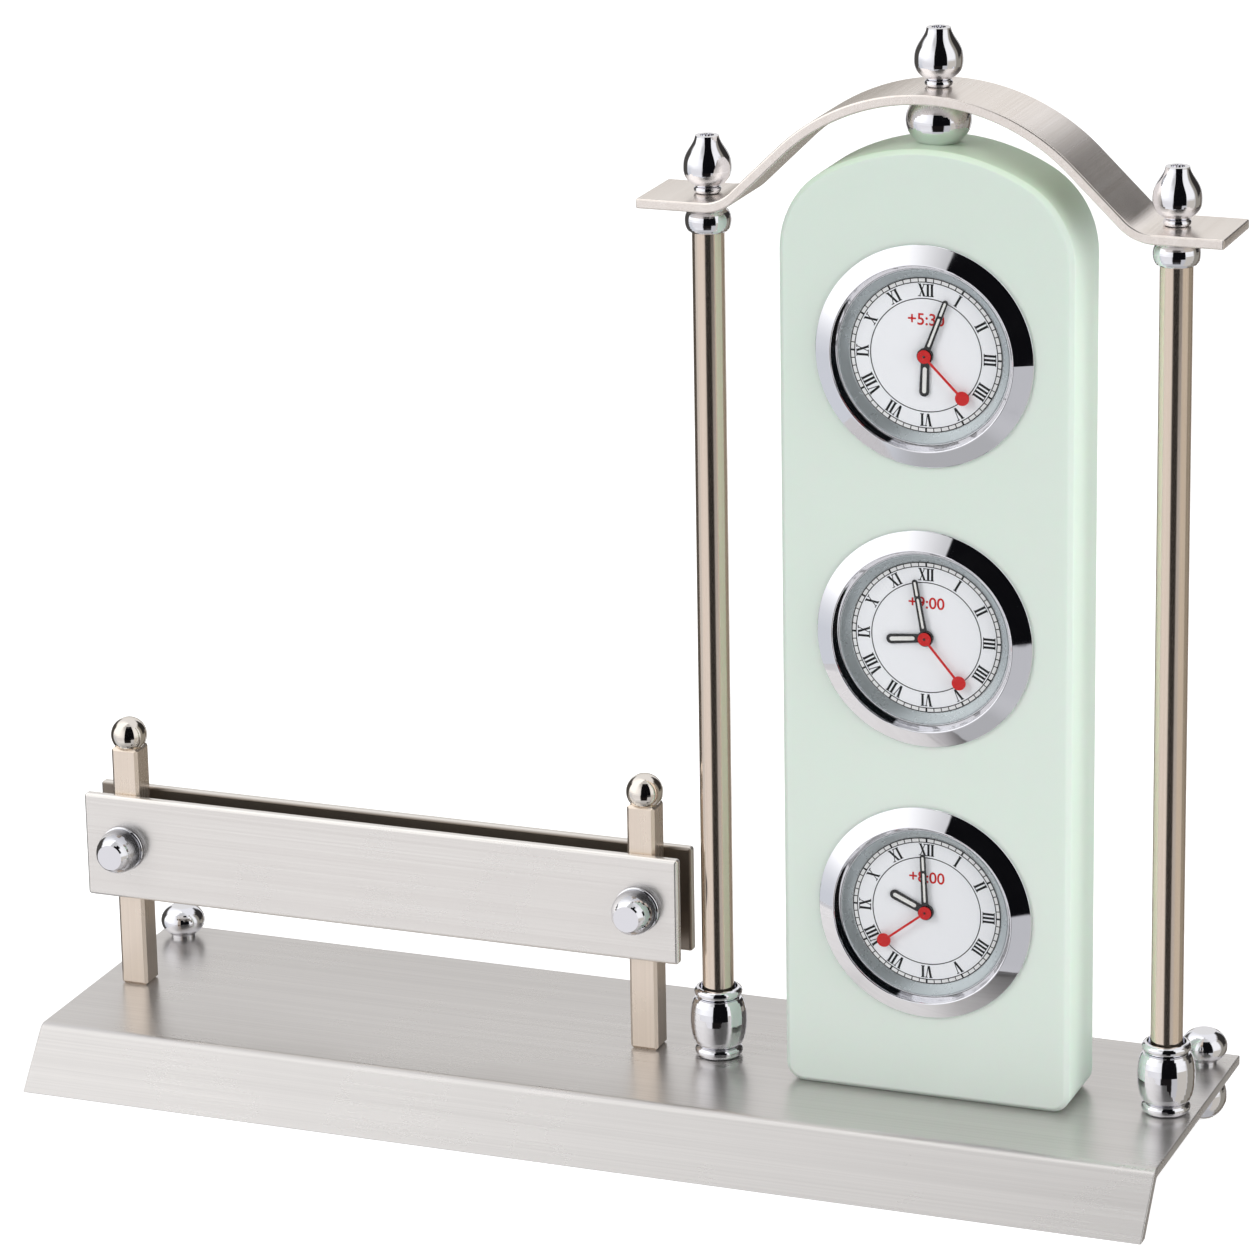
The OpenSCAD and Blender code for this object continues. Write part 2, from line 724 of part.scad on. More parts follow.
module battery(n) {
    rear = case_back + back_t;
    r = battery_d / 2;
    cap_r = r * battery_cap_share;
    color([0.8, 0.8, 0.8]) at_clock(n) translate([0, -battery_off, rear])
        turned([[0, 0], [r - slip, 0], [r, slip], [r, battery_t * battery_step_share],
            [cap_r, battery_t * battery_cap_share], [cap_r, battery_t], [0, battery_t]]);
}

// Setting knob behind the can, on its stem
module set_knob(n) {
    stem_top = case_back + back_t + set_stem_in;
    back = knob_out - set_knob_t;
    color([0.15, 0.15, 0.15]) at_clock(n) difference() {
        turned([[0, back], [set_knob_r - slip, back], [set_knob_r, back + slip],
            [set_knob_r, knob_out], [set_stem_r, knob_out], [set_stem_r, stem_top], [0, stem_top]]);
        for (a = [0:30:330]) rotate([0, 0, a]) translate([set_knob_r, 0, back - cut])
            cylinder(h = set_knob_t + 2 * cut, r = flute_r);
    }
}

// Baton hand pointing at twelve, with a rounded tip
module baton(root_w, tip_w, length) {
    tip = tip_w / 2;
    polygon(concat([[root_w / 2, 0]], arc([0, length - tip], tip, tip, 0, 180), [[-root_w / 2, 0]]));
}

// Slot in a baton hand for its pale inlay, between two distances from the axis
module inlay(w, from, to) {
    linear_extrude(2 * cut, center = true) polygon(concat(
        arc([0, from + w / 2], w / 2, w / 2, 180, 360, 6),
        arc([0, to - w / 2], w / 2, w / 2, 0, 180, 6)));
}

module hour_hand(n) {
    slot_w = hour_w * lume_share;
    gap = hour_w * hour_gap_share;
    color([0.08, 0.08, 0.08]) at_clock(n) rotate([0, 0, -hand_angles[n][0]])
        translate([0, 0, hour_out]) difference() {
            union() {
                linear_extrude(hand_t) baton(hour_root_w, hour_w, hour_len);
                cylinder(h = hand_t, r = hub_r);
                translate([0, 0, -hour_pipe[2]]) cylinder(h = hour_pipe[2] + hand_t, r = hour_pipe[1]);
            }
            translate([0, 0, -hour_pipe[2] - cut])
                cylinder(h = hour_pipe[2] + 2 * cut, r = hour_pipe[0]);
            inlay(slot_w, hub_r + gap, hour_len - gap);
        }
}

module minute_hand(n) {
    slot_w = minute_w * lume_share;
    split = minute_len * minute_split_share;
    color([0.08, 0.08, 0.08]) at_clock(n) rotate([0, 0, -hand_angles[n][1]])
        translate([0, 0, minute_out]) difference() {
            union() {
                linear_extrude(hand_t) baton(minute_root_w, minute_w, minute_len);
                cylinder(h = hand_t, r = hub_r);
                translate([0, 0, -minute_pipe[2]])
                    cylinder(h = minute_pipe[2] + hand_t, r = minute_pipe[1]);
            }
            translate([0, 0, -minute_pipe[2] - cut])
                cylinder(h = minute_pipe[2] + 2 * cut, r = minute_pipe[0]);
            inlay(slot_w, hub_r + slot_w, split);
            inlay(slot_w, split + slot_w, minute_len - slot_w);
        }
}

module second_hand(n) {
    color([0.8, 0.1, 0.1]) at_clock(n) rotate([0, 0, -hand_angles[n][2]])
        translate([0, 0, second_out]) {
            linear_extrude(hand_t) baton(second_w, second_w, second_len);
            cylinder(h = hand_t, r = second_hub_r);
            translate([0, second_disc_at, 0]) cylinder(h = hand_t, r = second_disc_r);
            translate([0, 0, -second_pin_in]) cylinder(h = second_pin_in + hand_t, r = second_pin_r);
        }
}

base_plate();
post(left_post_x);  // left_post
post(right_post_x);  // right_post
post_balls();
front_nameplate();
rear_nameplate();
plate_knobs();
plate_screws();
post_screws();
pillar(pillar_xs[0]);  // left_pillar
pillar(pillar_xs[1]);  // right_pillar
socket(pillar_xs[0]);  // left_socket
socket(pillar_xs[1]);  // right_socket
collar(pillar_xs[0]);  // left_collar
collar(pillar_xs[1]);  // right_collar
tie_screws();
arch_strap();
finial(pillar_xs[0], strap_z + strap_t, tie_in_finial);  // left_finial
finial(pillar_xs[1], strap_z + strap_t, tie_in_finial);  // right_finial
finial(clock_x, crown_z + strap_t, stud_in_finial);  // centre_finial
arch_spacer();
centre_stud();
glass_block();
block_screws();
cap_balls();
ball_feet();
foot_studs();
bezel(0);  // top_bezel
lens(0);  // top_lens
dial(0);  // top_dial
case(0);  // top_case
grip_ring(0);  // top_grip_ring
movement(0);  // top_movement
battery(0);  // top_battery
set_knob(0);  // top_set_knob
hour_hand(0);  // top_hour_hand
minute_hand(0);  // top_minute_hand
second_hand(0);  // top_second_hand
bezel(1);  // middle_bezel
lens(1);  // middle_lens
dial(1);  // middle_dial
case(1);  // middle_case
grip_ring(1);  // middle_grip_ring
movement(1);  // middle_movement
battery(1);  // middle_battery
set_knob(1);  // middle_set_knob
hour_hand(1);  // middle_hour_hand
minute_hand(1);  // middle_minute_hand
second_hand(1);  // middle_second_hand
bezel(2);  // bottom_bezel
lens(2);  // bottom_lens
dial(2);  // bottom_dial
case(2);  // bottom_case
grip_ring(2);  // bottom_grip_ring
movement(2);  // bottom_movement
battery(2);  // bottom_battery
set_knob(2);  // bottom_set_knob
hour_hand(2);  // bottom_hour_hand
minute_hand(2);  // bottom_minute_hand
second_hand(2);  // bottom_second_hand
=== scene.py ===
# %% [markdown]
# A desk clock and letter rack, dressed for its portrait
#
# The solids of this clock come from a CAD program, already at their true size. This lesson
# gives them their looks: brushed sheet, satin champagne bars, mirror chrome, frosted glass and
# three small printed dials. Every cell says what a piece is on the real object, how it could
# be made in Blender, and why one way was chosen.

# %% Load the CAD model
import math

import bmesh
import bpy
from mathutils import Matrix, Vector
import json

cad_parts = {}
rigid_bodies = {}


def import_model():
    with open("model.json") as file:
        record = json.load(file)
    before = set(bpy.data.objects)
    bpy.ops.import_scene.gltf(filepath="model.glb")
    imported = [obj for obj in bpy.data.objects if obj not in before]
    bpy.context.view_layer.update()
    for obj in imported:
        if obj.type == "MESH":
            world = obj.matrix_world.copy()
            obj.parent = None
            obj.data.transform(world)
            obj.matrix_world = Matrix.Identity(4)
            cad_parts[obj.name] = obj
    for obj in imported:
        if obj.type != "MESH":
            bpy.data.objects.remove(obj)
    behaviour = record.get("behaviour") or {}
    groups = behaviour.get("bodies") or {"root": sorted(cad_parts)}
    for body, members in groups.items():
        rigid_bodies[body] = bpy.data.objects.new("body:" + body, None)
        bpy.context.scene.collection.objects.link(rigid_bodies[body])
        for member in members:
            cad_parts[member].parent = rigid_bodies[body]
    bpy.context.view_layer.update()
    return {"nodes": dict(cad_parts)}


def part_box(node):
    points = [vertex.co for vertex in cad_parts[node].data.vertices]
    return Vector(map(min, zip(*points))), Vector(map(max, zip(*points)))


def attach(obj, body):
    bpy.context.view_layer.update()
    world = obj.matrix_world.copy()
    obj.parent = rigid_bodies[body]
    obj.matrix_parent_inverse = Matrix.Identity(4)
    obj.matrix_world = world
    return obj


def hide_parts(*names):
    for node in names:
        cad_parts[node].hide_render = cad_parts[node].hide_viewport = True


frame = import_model()

# %% [markdown]
# Everything is in metres, but a clock is easier to think about in millimetres, so one factor
# turns the small sizes into metres. The three clocks share their sizes, and each has its own
# hub, which the box of its bezel gives.

# %% Sizes and helpers that several pieces share
MM = 0.001
CLOCKS = ("top", "middle", "bottom")
DIAL_THICKNESS = 0.5 * MM
INK_THICKNESS = 0.02 * MM


def middle(node):
    """Middle of a node's box."""
    low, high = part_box(node)
    return (Vector(low) + Vector(high)) / 2


def add_object(name, data):
    """Object with this data, linked to the scene."""
    thing = bpy.data.objects.new(name, data)
    bpy.context.scene.collection.objects.link(thing)
    return thing


hubs = {clock: middle(clock + "_bezel") for clock in CLOCKS}
dial_faces = {clock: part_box(clock + "_dial")[1][1] - DIAL_THICKNESS for clock in CLOCKS}
clock_pitch = hubs["top"].z - hubs["middle"].z
print("Clock hubs, height in mm:", [round(hubs[clock].z / MM, 1) for clock in CLOCKS])

# %% [markdown]
# The camera stands to the right of the clock and a little above it. A long lens from more
# than a metre away keeps the verticals nearly parallel, as in a catalogue picture. The camera
# is also rolled by about a degree, so its three axes are worked out one after the other.

# %% Place the camera
CAMERA_PLACE = Vector((0.43528, -1.11031, 0.49303))
CAMERA_AZIMUTH = math.radians(21.43)
CAMERA_ELEVATION = math.radians(17.54)
CAMERA_ROLL = math.radians(-1.05)
IMAGE_SIDE = 1254
FOCAL_PIXELS = 5517.07
SENSOR_WIDTH = 36

right = Vector((math.cos(CAMERA_AZIMUTH), math.sin(CAMERA_AZIMUTH), 0))
back = Vector((
    math.sin(CAMERA_AZIMUTH) * math.cos(CAMERA_ELEVATION),
    -math.cos(CAMERA_AZIMUTH) * math.cos(CAMERA_ELEVATION),
    math.sin(CAMERA_ELEVATION),
))
up = back.cross(right)
rolled_right = right * math.cos(CAMERA_ROLL) + up * math.sin(CAMERA_ROLL)
rolled_up = up * math.cos(CAMERA_ROLL) - right * math.sin(CAMERA_ROLL)

camera_data = bpy.data.cameras.new("portrait_camera")
camera_data.sensor_width = SENSOR_WIDTH
camera_data.lens = FOCAL_PIXELS / IMAGE_SIDE * SENSOR_WIDTH
camera_data.clip_end = 20
camera = add_object("portrait_camera", camera_data)
axes = Matrix((rolled_right, rolled_up, back)).transposed().to_4x4()
camera.matrix_world = Matrix.Translation(CAMERA_PLACE) @ axes
bpy.context.scene.camera = camera
print("Lens:", round(camera_data.lens, 1), "mm")

# %% [markdown]
# Materials come next. Colours are written as they look on a screen, from 0 to 255, and turned
# into the linear values that the shader counts with. Each material starts as one Principled
# shader, and a few short helpers place nodes and join them, so that a recipe reads from top
# to bottom.

# %% Helpers for materials


def screen(red, green, blue):
    """Linear colour from a screen colour of 0 to 255."""
    def linear(value):
        share = value / 255
        return share / 12.92 if share <= 0.04045 else ((share + 0.055) / 1.055) ** 2.4
    return (linear(red), linear(green), linear(blue), 1.0)


def wire(tree, socket, value):
    """Sets a socket to a number or a tuple, or joins an output to it."""
    if isinstance(value, (int, float, tuple)):
        socket.default_value = value
    else:
        tree.links.new(value, socket)


def start_material(name, colour, metallic, roughness):
    """A material with one Principled shader; returns the material and its node tree."""
    material = bpy.data.materials.new(name)
    material.use_nodes = True
    tree = material.node_tree
    tree.nodes.clear()
    output = tree.nodes.new("ShaderNodeOutputMaterial")
    shader = tree.nodes.new("ShaderNodeBsdfPrincipled")
    shader.name = "Shader"
    tree.links.new(shader.outputs["BSDF"], output.inputs["Surface"])
    feed(tree, "Base Color", colour)
    feed(tree, "Metallic", metallic)
    feed(tree, "Roughness", roughness)
    return material, tree


def feed(tree, socket, value):
    """Gives a value or an output to one of the shader's sockets."""
    wire(tree, tree.nodes["Shader"].inputs[socket], value)


def object_place(tree):
    """Output that gives a point's place on the object, in metres."""
    return tree.nodes.new("ShaderNodeTexCoord").outputs["Object"]


def split(tree, vector):
    """Outputs X, Y and Z of a vector."""
    node = tree.nodes.new("ShaderNodeSeparateXYZ")
    tree.links.new(vector, node.inputs[0])
    return node.outputs


def surface_normal(tree):
    """Outputs X, Y and Z of the surface's normal."""
    return split(tree, tree.nodes.new("ShaderNodeNewGeometry").outputs["Normal"])


def math_node(tree, operation, *values):
    """Math node; each value is a number or an output."""
    node = tree.nodes.new("ShaderNodeMath")
    node.operation = operation
    for socket, value in zip(node.inputs, values):
        wire(tree, socket, value)
    return node.outputs[0]


def noise_value(tree, place, scale, detail=2.0, roughness=0.5):
    """Cloudy noise, mostly between 0.3 and 0.7, with this many cells in a metre."""
    node = tree.nodes.new("ShaderNodeTexNoise")
    values = {"Vector": place, "Scale": scale, "Detail": detail, "Roughness": roughness}
    for name, value in values.items():
        wire(tree, node.inputs[name], value)
    return node.outputs[0]


def ramp_value(tree, value, low, high, at_low, at_high):
    """Maps a value from low..high to at_low..at_high, held at the ends."""
    node = tree.nodes.new("ShaderNodeMapRange")
    tree.links.new(value, node.inputs["Value"])
    limits = {"From Min": low, "From Max": high, "To Min": at_low, "To Max": at_high}
    for name, limit in limits.items():
        node.inputs[name].default_value = limit
    return node.outputs["Result"]


def blend_colours(tree, factor, first, second):
    """Mixes two colours; each is a tuple or an output."""
    node = tree.nodes.new("ShaderNodeMix")
    node.data_type = "RGBA"
    tree.links.new(factor, node.inputs["Factor"])
    wire(tree, node.inputs[6], first)
    wire(tree, node.inputs[7], second)
    return node.outputs[2]


def mix_shaders(tree, factor, first, second):
    """Shader that goes from first to second as the factor goes from 0 to 1."""
    node = tree.nodes.new("ShaderNodeMixShader")
    for socket, output in zip(node.inputs, (factor, first, second)):
        tree.links.new(output, socket)
    return node.outputs[0]


def relief(tree, height, distance):
    """Gives the shader small bumps of this height in metres."""
    bump = tree.nodes.new("ShaderNodeBump")
    bump.inputs["Distance"].default_value = distance
    tree.links.new(height, bump.inputs["Height"])
    feed(tree, "Normal", bump.outputs["Normal"])


# %% [markdown]
# Three effects are node groups, so that each is built once and a recipe only names it:
#
# - Grain: fine streaks drawn along a direction. Noise that is stretched along one axis does
#   this. The Stretch input says how many noise cells fit in a metre on each axis, so a low
#   number gives long streaks. Streak is the fine pattern, and Band a broad one under it.
# - Handling: the cloudy film that fingers and a cloth leave. It dulls the gloss, and on plain
#   screws and cans it also darkens the metal a little.
# - Sunray: faint rays round a dial's hub. The three dials share one material, so the height is
#   wrapped by the distance between the clocks, which centres the rays on each of them.

# %% Build the shared effects
BAND_SCALE = 0.16
FILM_LIMITS = (0.42, 0.66)
FILM_HARSHNESS = 0.62


def start_tree(kind, name, inputs, outputs):
    """Empty node tree; its inputs and outputs are given as the kind of socket by its name."""
    tree = bpy.data.node_groups.new(name, kind)
    for way, sockets in (("INPUT", inputs), ("OUTPUT", outputs)):
        for label, form in sockets.items():
            tree.interface.new_socket(label, in_out=way, socket_type="NodeSocket" + form)
    return tree, tree.nodes.new("NodeGroupInput").outputs, tree.nodes.new("NodeGroupOutput").inputs


def build_grain():
    group, given, result = start_tree(
        "ShaderNodeTree", "Grain",
        {"Place": "Vector", "Stretch": "Vector"}, {"Streak": "Float", "Band": "Float"})
    spread = group.nodes.new("ShaderNodeVectorMath")
    spread.operation = "MULTIPLY"
    group.links.new(given["Place"], spread.inputs[0])
    group.links.new(given["Stretch"], spread.inputs[1])
    stretched = spread.outputs[0]
    group.links.new(noise_value(group, stretched, 1.0, detail=3.0), result["Streak"])
    group.links.new(noise_value(group, stretched, BAND_SCALE), result["Band"])
    return group


def build_handling():
    group, given, result = start_tree(
        "ShaderNodeTree", "Handling", {"Place": "Vector", "Scale": "Float"}, {"Film": "Float"})
    cloud = noise_value(group, given["Place"], given["Scale"], 5.0, FILM_HARSHNESS)
    group.links.new(ramp_value(group, cloud, *FILM_LIMITS, 0, 1), result["Film"])
    return group


def build_sunray():
    inputs = dict.fromkeys(("Hub X", "Hub Z", "Pitch", "Rays"), "Float")
    group, given, result = start_tree(
        "ShaderNodeTree", "Sunray", {"Place": "Vector", **inputs}, {"Ray": "Float"})
    place = split(group, given["Place"])
    across = math_node(group, "SUBTRACT", place["X"], given["Hub X"])
    height = math_node(group, "SUBTRACT", place["Z"], given["Hub Z"])
    half = math_node(group, "MULTIPLY", given["Pitch"], 0.5)
    minus_half = math_node(group, "MULTIPLY", half, -1.0)
    wrapped = math_node(group, "WRAP", height, half, minus_half)
    angle = math_node(group, "ARCTAN2", wrapped, across)
    spot = group.nodes.new("ShaderNodeCombineXYZ")
    group.links.new(math_node(group, "MULTIPLY", angle, given["Rays"]), spot.inputs["X"])
    group.links.new(noise_value(group, spot.outputs[0], 1.0, detail=3.0), result["Ray"])
    return group


grain_group = build_grain()
handling_group = build_handling()
sunray_group = build_sunray()


def use_group(tree, group, **values):
    """Places a node group; a value is a number, a tuple or an output, named with _ for a space."""
    node = tree.nodes.new("ShaderNodeGroup")
    node.node_tree = group
    for name, value in values.items():
        wire(tree, node.inputs[name.replace("_", " ")], value)
    return node.outputs


def handling_film(tree, place, scale):
    """Film of handling, with this many clouds in a metre."""
    return use_group(tree, handling_group, Place=place, Scale=scale)["Film"]


print("Node groups:", [group.name for group in bpy.data.node_groups])

# %% [markdown]
# The bent base and the two rack plates are stainless sheet, brushed along their length. The
# satin posts, pillars and strap have a warm champagne tone. Up the posts and pillars the grain
# runs along the bar, and on the strap it runs across, from front to back. One recipe makes
# all of them, with its own colour and stretch. The metals are a little less than fully
# metallic, which stands for the dull bottoms of the scratches and keeps a satin face from
# going black when it happens to mirror something dark. The rear plate gets a darker copy of
# the plate steel, and a far darker colour on its faces that look towards -Y: painted shade,
# where the front plate shades it.

# %% Brushed metals
STREAK_TONE = 0.6
BAND_TONE = 0.4
TONE_LIMITS = (0.36, 0.64)
FILM_DULLS = 0.04
STREAK_DULLS = 0.03
BRUSHING_DULLS = 0.035
SHADE_FACING = (-0.9, -0.5)


def facing_front(tree, full, none):
    """Mask of surfaces whose normal points to -Y: one where its y is below full."""
    return ramp_value(tree, surface_normal(tree)["Y"], full, none, 1, 0)


def brushed_metal(name, light, dark, stretch, roughness, bump, metallic=0.85, inner=None):
    """Satin metal with streaks; the last argument paints shade, a darker colour on faces that look
    towards -Y.
    """
    material, tree = start_material(name, light, metallic, roughness)
    place = object_place(tree)
    grain = use_group(tree, grain_group, Place=place, Stretch=stretch)
    band = math_node(tree, "MULTIPLY", grain["Band"], BAND_TONE)
    tone = math_node(tree, "MULTIPLY_ADD", grain["Streak"], STREAK_TONE, band)
    colour = blend_colours(tree, ramp_value(tree, tone, *TONE_LIMITS, 0, 1), dark, light)
    # Painted shade: faces that look towards -Y take the darker colour.
    if inner:
        colour = blend_colours(tree, facing_front(tree, *SHADE_FACING), colour, inner)
    feed(tree, "Base Color", colour)
    film = handling_film(tree, place, 28.0)
    dull = math_node(tree, "MULTIPLY_ADD", film, FILM_DULLS, roughness + BRUSHING_DULLS)
    feed(tree, "Roughness", math_node(tree, "MULTIPLY_ADD", grain["Streak"], STREAK_DULLS, dull))
    relief(tree, grain["Streak"], bump)
    return material


sheet_steel = brushed_metal(
    "sheet_steel", screen(218, 215, 213), screen(209, 206, 204), (8, 2300, 2300), 0.22,
    0.0003 * MM)
plate_steel = brushed_metal(
    "plate_steel", screen(241, 238, 234), screen(233, 229, 225), (7, 2300, 2300), 0.2,
    0.0002 * MM)
# Rear plate: a darker copy of the plate steel as painted shade from the front plate, with a far
# darker painted shade on its faces towards -Y.
shaded_steel = brushed_metal(
    "shaded_steel", screen(234, 229, 223), screen(226, 221, 214), (7, 2300, 2300), 0.24,
    0.0002 * MM, inner=screen(132, 122, 112))
champagne_upright = brushed_metal(
    "champagne_upright", screen(243, 229, 214), screen(236, 222, 207), (3000, 3000, 14), 0.22,
    0.0002 * MM, metallic=0.9)
champagne_round = brushed_metal(
    "champagne_round", screen(236, 220, 204), screen(228, 212, 196), (2200, 2200, 14), 0.1,
    0.0005 * MM, metallic=0.97)
champagne_strap = brushed_metal(
    "champagne_strap", screen(250, 243, 237), screen(238, 229, 221), (2800, 7, 2800), 0.2,
    0.0003 * MM, metallic=0.93)
print("Brushed metals:", sheet_steel.name, plate_steel.name, shaded_steel.name)

# %% [markdown]
# Chrome plating is almost only reflection. What makes it look real is a film that dulls some
# places a little and a very low wave in the surface, as polishing leaves it. On the two rack
# knobs only the flat face is bright; their flanks get a darker colour, a painted dark
# reflection.

# %% Chrome and plain metals
CHROME_DULLS = 0.035
TURNING_DULLS = 0.2
POLISHING_WAVE = 0.01 * MM
TOOL_MARK = 0.01 * MM
KNOB_FACE = (-0.6, -0.15)


def chrome_metal(name, colour, roughness, metallic=1.0, painted_reflection=None):
    """Mirror metal; the last argument paints a dark reflection, a darker colour on surfaces that
    turn away from -Y.
    """
    material, tree = start_material(name, colour, metallic, roughness)
    place = object_place(tree)
    # Painted dark reflection on surfaces that turn away from -Y.
    if painted_reflection:
        face = facing_front(tree, *KNOB_FACE)
        feed(tree, "Base Color", blend_colours(tree, face, painted_reflection, colour))
    film = handling_film(tree, place, 160.0)
    feed(tree, "Roughness", math_node(tree, "MULTIPLY_ADD", film, CHROME_DULLS, roughness))
    relief(tree, noise_value(tree, place, 120), POLISHING_WAVE)
    return material


def turned_metal(name, light, dark, roughness):
    """Plain screw or can metal with fine tool marks."""
    material, tree = start_material(name, light, 1.0, roughness)
    place = object_place(tree)
    streak = use_group(tree, grain_group, Place=place, Stretch=(900, 900, 2600))["Streak"]
    feed(tree, "Base Color", blend_colours(tree, handling_film(tree, place, 220.0), light, dark))
    feed(tree, "Roughness", math_node(tree, "MULTIPLY_ADD", streak, TURNING_DULLS, roughness))
    relief(tree, streak, TOOL_MARK)
    return material


chrome = chrome_metal("chrome", screen(236, 236, 240), 0.03)
# The knobs' flanks carry a painted dark reflection.
knob_chrome = chrome_metal("knob_chrome", screen(236, 236, 240), 0.03, painted_reflection=screen(158, 159, 165))
warm_chrome = chrome_metal("warm_chrome", screen(232, 225, 216), 0.05)
liner_metal = chrome_metal("liner_metal", screen(190, 198, 201), 0.26, metallic=0.6)
screw_steel = turned_metal("screw_steel", screen(205, 205, 203), screen(176, 175, 171), 0.3)
can_metal = turned_metal("can_metal", screen(214, 214, 216), screen(190, 190, 192), 0.26)
cell_steel = turned_metal("cell_steel", screen(210, 208, 204), screen(188, 186, 180), 0.2)
print("Plain metals:", chrome.name, screw_steel.name, can_metal.name, cell_steel.name)

# %% [markdown]
# The block is thick glass with a satin surface. Light enters, scatters, and comes out again a
# little greener, so it looks soft and nearly closed. A diffuse base with some light spread
# below the surface gives that calm look without noise. Over that go painted light and shade:
# the colour is lighter at the bottom, darker towards the top, and greener on the sides and
# the crown, chosen by the way each face looks. Faint clouds vary it a little, and a very fine
# tooth breaks up the gloss.

# %% Frosted glass
# Painted light and shade on one glass: a lit bottom, a shaded top, and greener painted light on the
# sides and the crown.
GLASS_LIT_BOTTOM = screen(221, 231, 223)
GLASS_SHADED_TOP = screen(206, 218, 209)
GLASS_SIDE_LIGHT = screen(228, 245, 232)
GLASS_CROWN_LIGHT = screen(224, 244, 220)
GLASS_CLOUD = screen(208, 228, 214)
SIDE_LIMITS = (0.75, 1.0)
CROWN_LIMITS = (0.3, 0.85)
CLOUD_SHARE = 0.12
GLASS_TOOTH = 0.002 * MM


def frosted_glass():
    material, tree = start_material("frosted_glass", screen(233, 240, 234), 0.0, 0.42)
    place = object_place(tree)
    feed(tree, "Subsurface Weight", 0.25)
    feed(tree, "Subsurface Radius", (0.5, 1.0, 0.7))
    feed(tree, "Subsurface Scale", 4 * MM)
    block_low, block_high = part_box("glass_block")
    # Painted light and shade by height, and painted light on the sides and the crown by the way they
    # face.
    painted_height_shade = ramp_value(tree, split(tree, place)["Z"], block_low[2], block_high[2], 0, 1)
    normal = surface_normal(tree)
    side = ramp_value(tree, math_node(tree, "ABSOLUTE", normal["X"]), *SIDE_LIMITS, 0, 1)
    painted_crown_light = ramp_value(tree, normal["Z"], *CROWN_LIMITS, 0, 1)
    cloud = ramp_value(tree, noise_value(tree, place, 45, detail=3), 0.35, 0.65, 0, CLOUD_SHARE)
    colour = blend_colours(tree, painted_height_shade, GLASS_LIT_BOTTOM, GLASS_SHADED_TOP)
    for mask, tint in ((side, GLASS_SIDE_LIGHT), (painted_crown_light, GLASS_CROWN_LIGHT), (cloud, GLASS_CLOUD)):
        colour = blend_colours(tree, mask, colour, tint)
    feed(tree, "Base Color", colour)
    tooth = noise_value(tree, place, 9000)
    feed(tree, "Roughness", ramp_value(tree, tooth, 0.3, 0.7, 0.36, 0.5))
    relief(tree, tooth, GLASS_TOOTH)
    return material


def lens_glass():
    material, tree = start_material("lens_glass", screen(40, 52, 54), 0.0, 0.02)
    feed(tree, "Alpha", 0.04)
    feed(tree, "Specular IOR Level", 0.25)
    film = handling_film(tree, object_place(tree), 90.0)
    feed(tree, "Roughness", ramp_value(tree, film, 0, 1, 0.015, 0.06))
    return material


frosted = frosted_glass()
lens = lens_glass()
print("Glass:", frosted.name, lens.name)

# %% [markdown]
# Dials are sprayed with silver lacquer over faint rays from the hub. The print on them is
# black, red and white ink with a slight pile, and the hands are black or red enamel with a
# pale inlay in the black ones. These surfaces are small, so their detail is small too: a
# noise with six cells in a millimetre.

# %% Dial lacquer, ink, enamel, rubber and plastic
SPECK_TONE = 0.8
BLOTCH_DULLS = 0.12
INK_CELLS = 6000.0
MOULD_CELLS = 2500.0
RAY_CELLS = 40.0
RAY_LIMITS = (0.35, 0.65)


def fine_finish(name, colour, second, roughness, scale=INK_CELLS, bump=0.004, coat=0.0):
    """Plain colour with fine specks, soft blotches and a little relief, in millimetres."""
    material, tree = start_material(name, colour, 0.0, roughness)
    feed(tree, "Coat Weight", coat)
    place = object_place(tree)
    speck = noise_value(tree, place, scale)
    tone = math_node(tree, "MULTIPLY", speck, SPECK_TONE)
    feed(tree, "Base Color", blend_colours(tree, tone, colour, second))
    film = handling_film(tree, place, 300.0)
    feed(tree, "Roughness", math_node(tree, "MULTIPLY_ADD", film, BLOTCH_DULLS, roughness))
    relief(tree, speck, bump * MM)
    return material


def dial_lacquer():
    material, tree = start_material("dial_lacquer", screen(250, 251, 253), 0.0, 0.4)
    sunray = use_group(
        tree, sunray_group, Place=object_place(tree), Hub_X=hubs["top"].x, Hub_Z=hubs["top"].z,
        Pitch=clock_pitch, Rays=RAY_CELLS)
    ray = sunray["Ray"]
    tone = ramp_value(tree, ray, *RAY_LIMITS, 0, 1)
    feed(tree, "Base Color", blend_colours(tree, tone, screen(242, 244, 249), screen(248, 249, 252)))
    feed(tree, "Roughness", ramp_value(tree, ray, *RAY_LIMITS, 0.33, 0.42))
    relief(tree, ray, 0.002 * MM)
    return material


dial_silver = dial_lacquer()
black_ink = fine_finish("black_ink", screen(10, 10, 13), screen(20, 20, 24), 0.5)
red_ink = fine_finish("red_ink", screen(212, 24, 22), screen(190, 20, 20), 0.5)
white_ink = fine_finish("white_ink", screen(246, 246, 246), screen(232, 232, 234), 0.55)
pale_inlay = fine_finish("pale_inlay", screen(242, 242, 240), screen(226, 226, 222), 0.6)
black_enamel = fine_finish("black_enamel", screen(16, 16, 18), screen(26, 26, 28), 0.2, coat=0.4)
red_enamel = fine_finish("red_enamel", screen(208, 6, 6), screen(192, 5, 7), 0.3, coat=0.1)
grip_rubber = fine_finish(
    "grip_rubber", screen(40, 40, 42), screen(56, 56, 58), 0.75, MOULD_CELLS, 0.02)
ivory_plastic = fine_finish(
    "ivory_plastic", screen(232, 229, 220), screen(222, 219, 208), 0.5, MOULD_CELLS, 0.01)
knob_plastic = fine_finish(
    "knob_plastic", screen(38, 38, 40), screen(52, 52, 54), 0.45, MOULD_CELLS, 0.01)
print("Materials so far:", len(bpy.data.materials))

# %% [markdown]
# The CAD nodes keep their shapes and only change their finish. Two tables say which finish
# each node of the stand and each kind of node in a clock gets, and a loop hands them out.

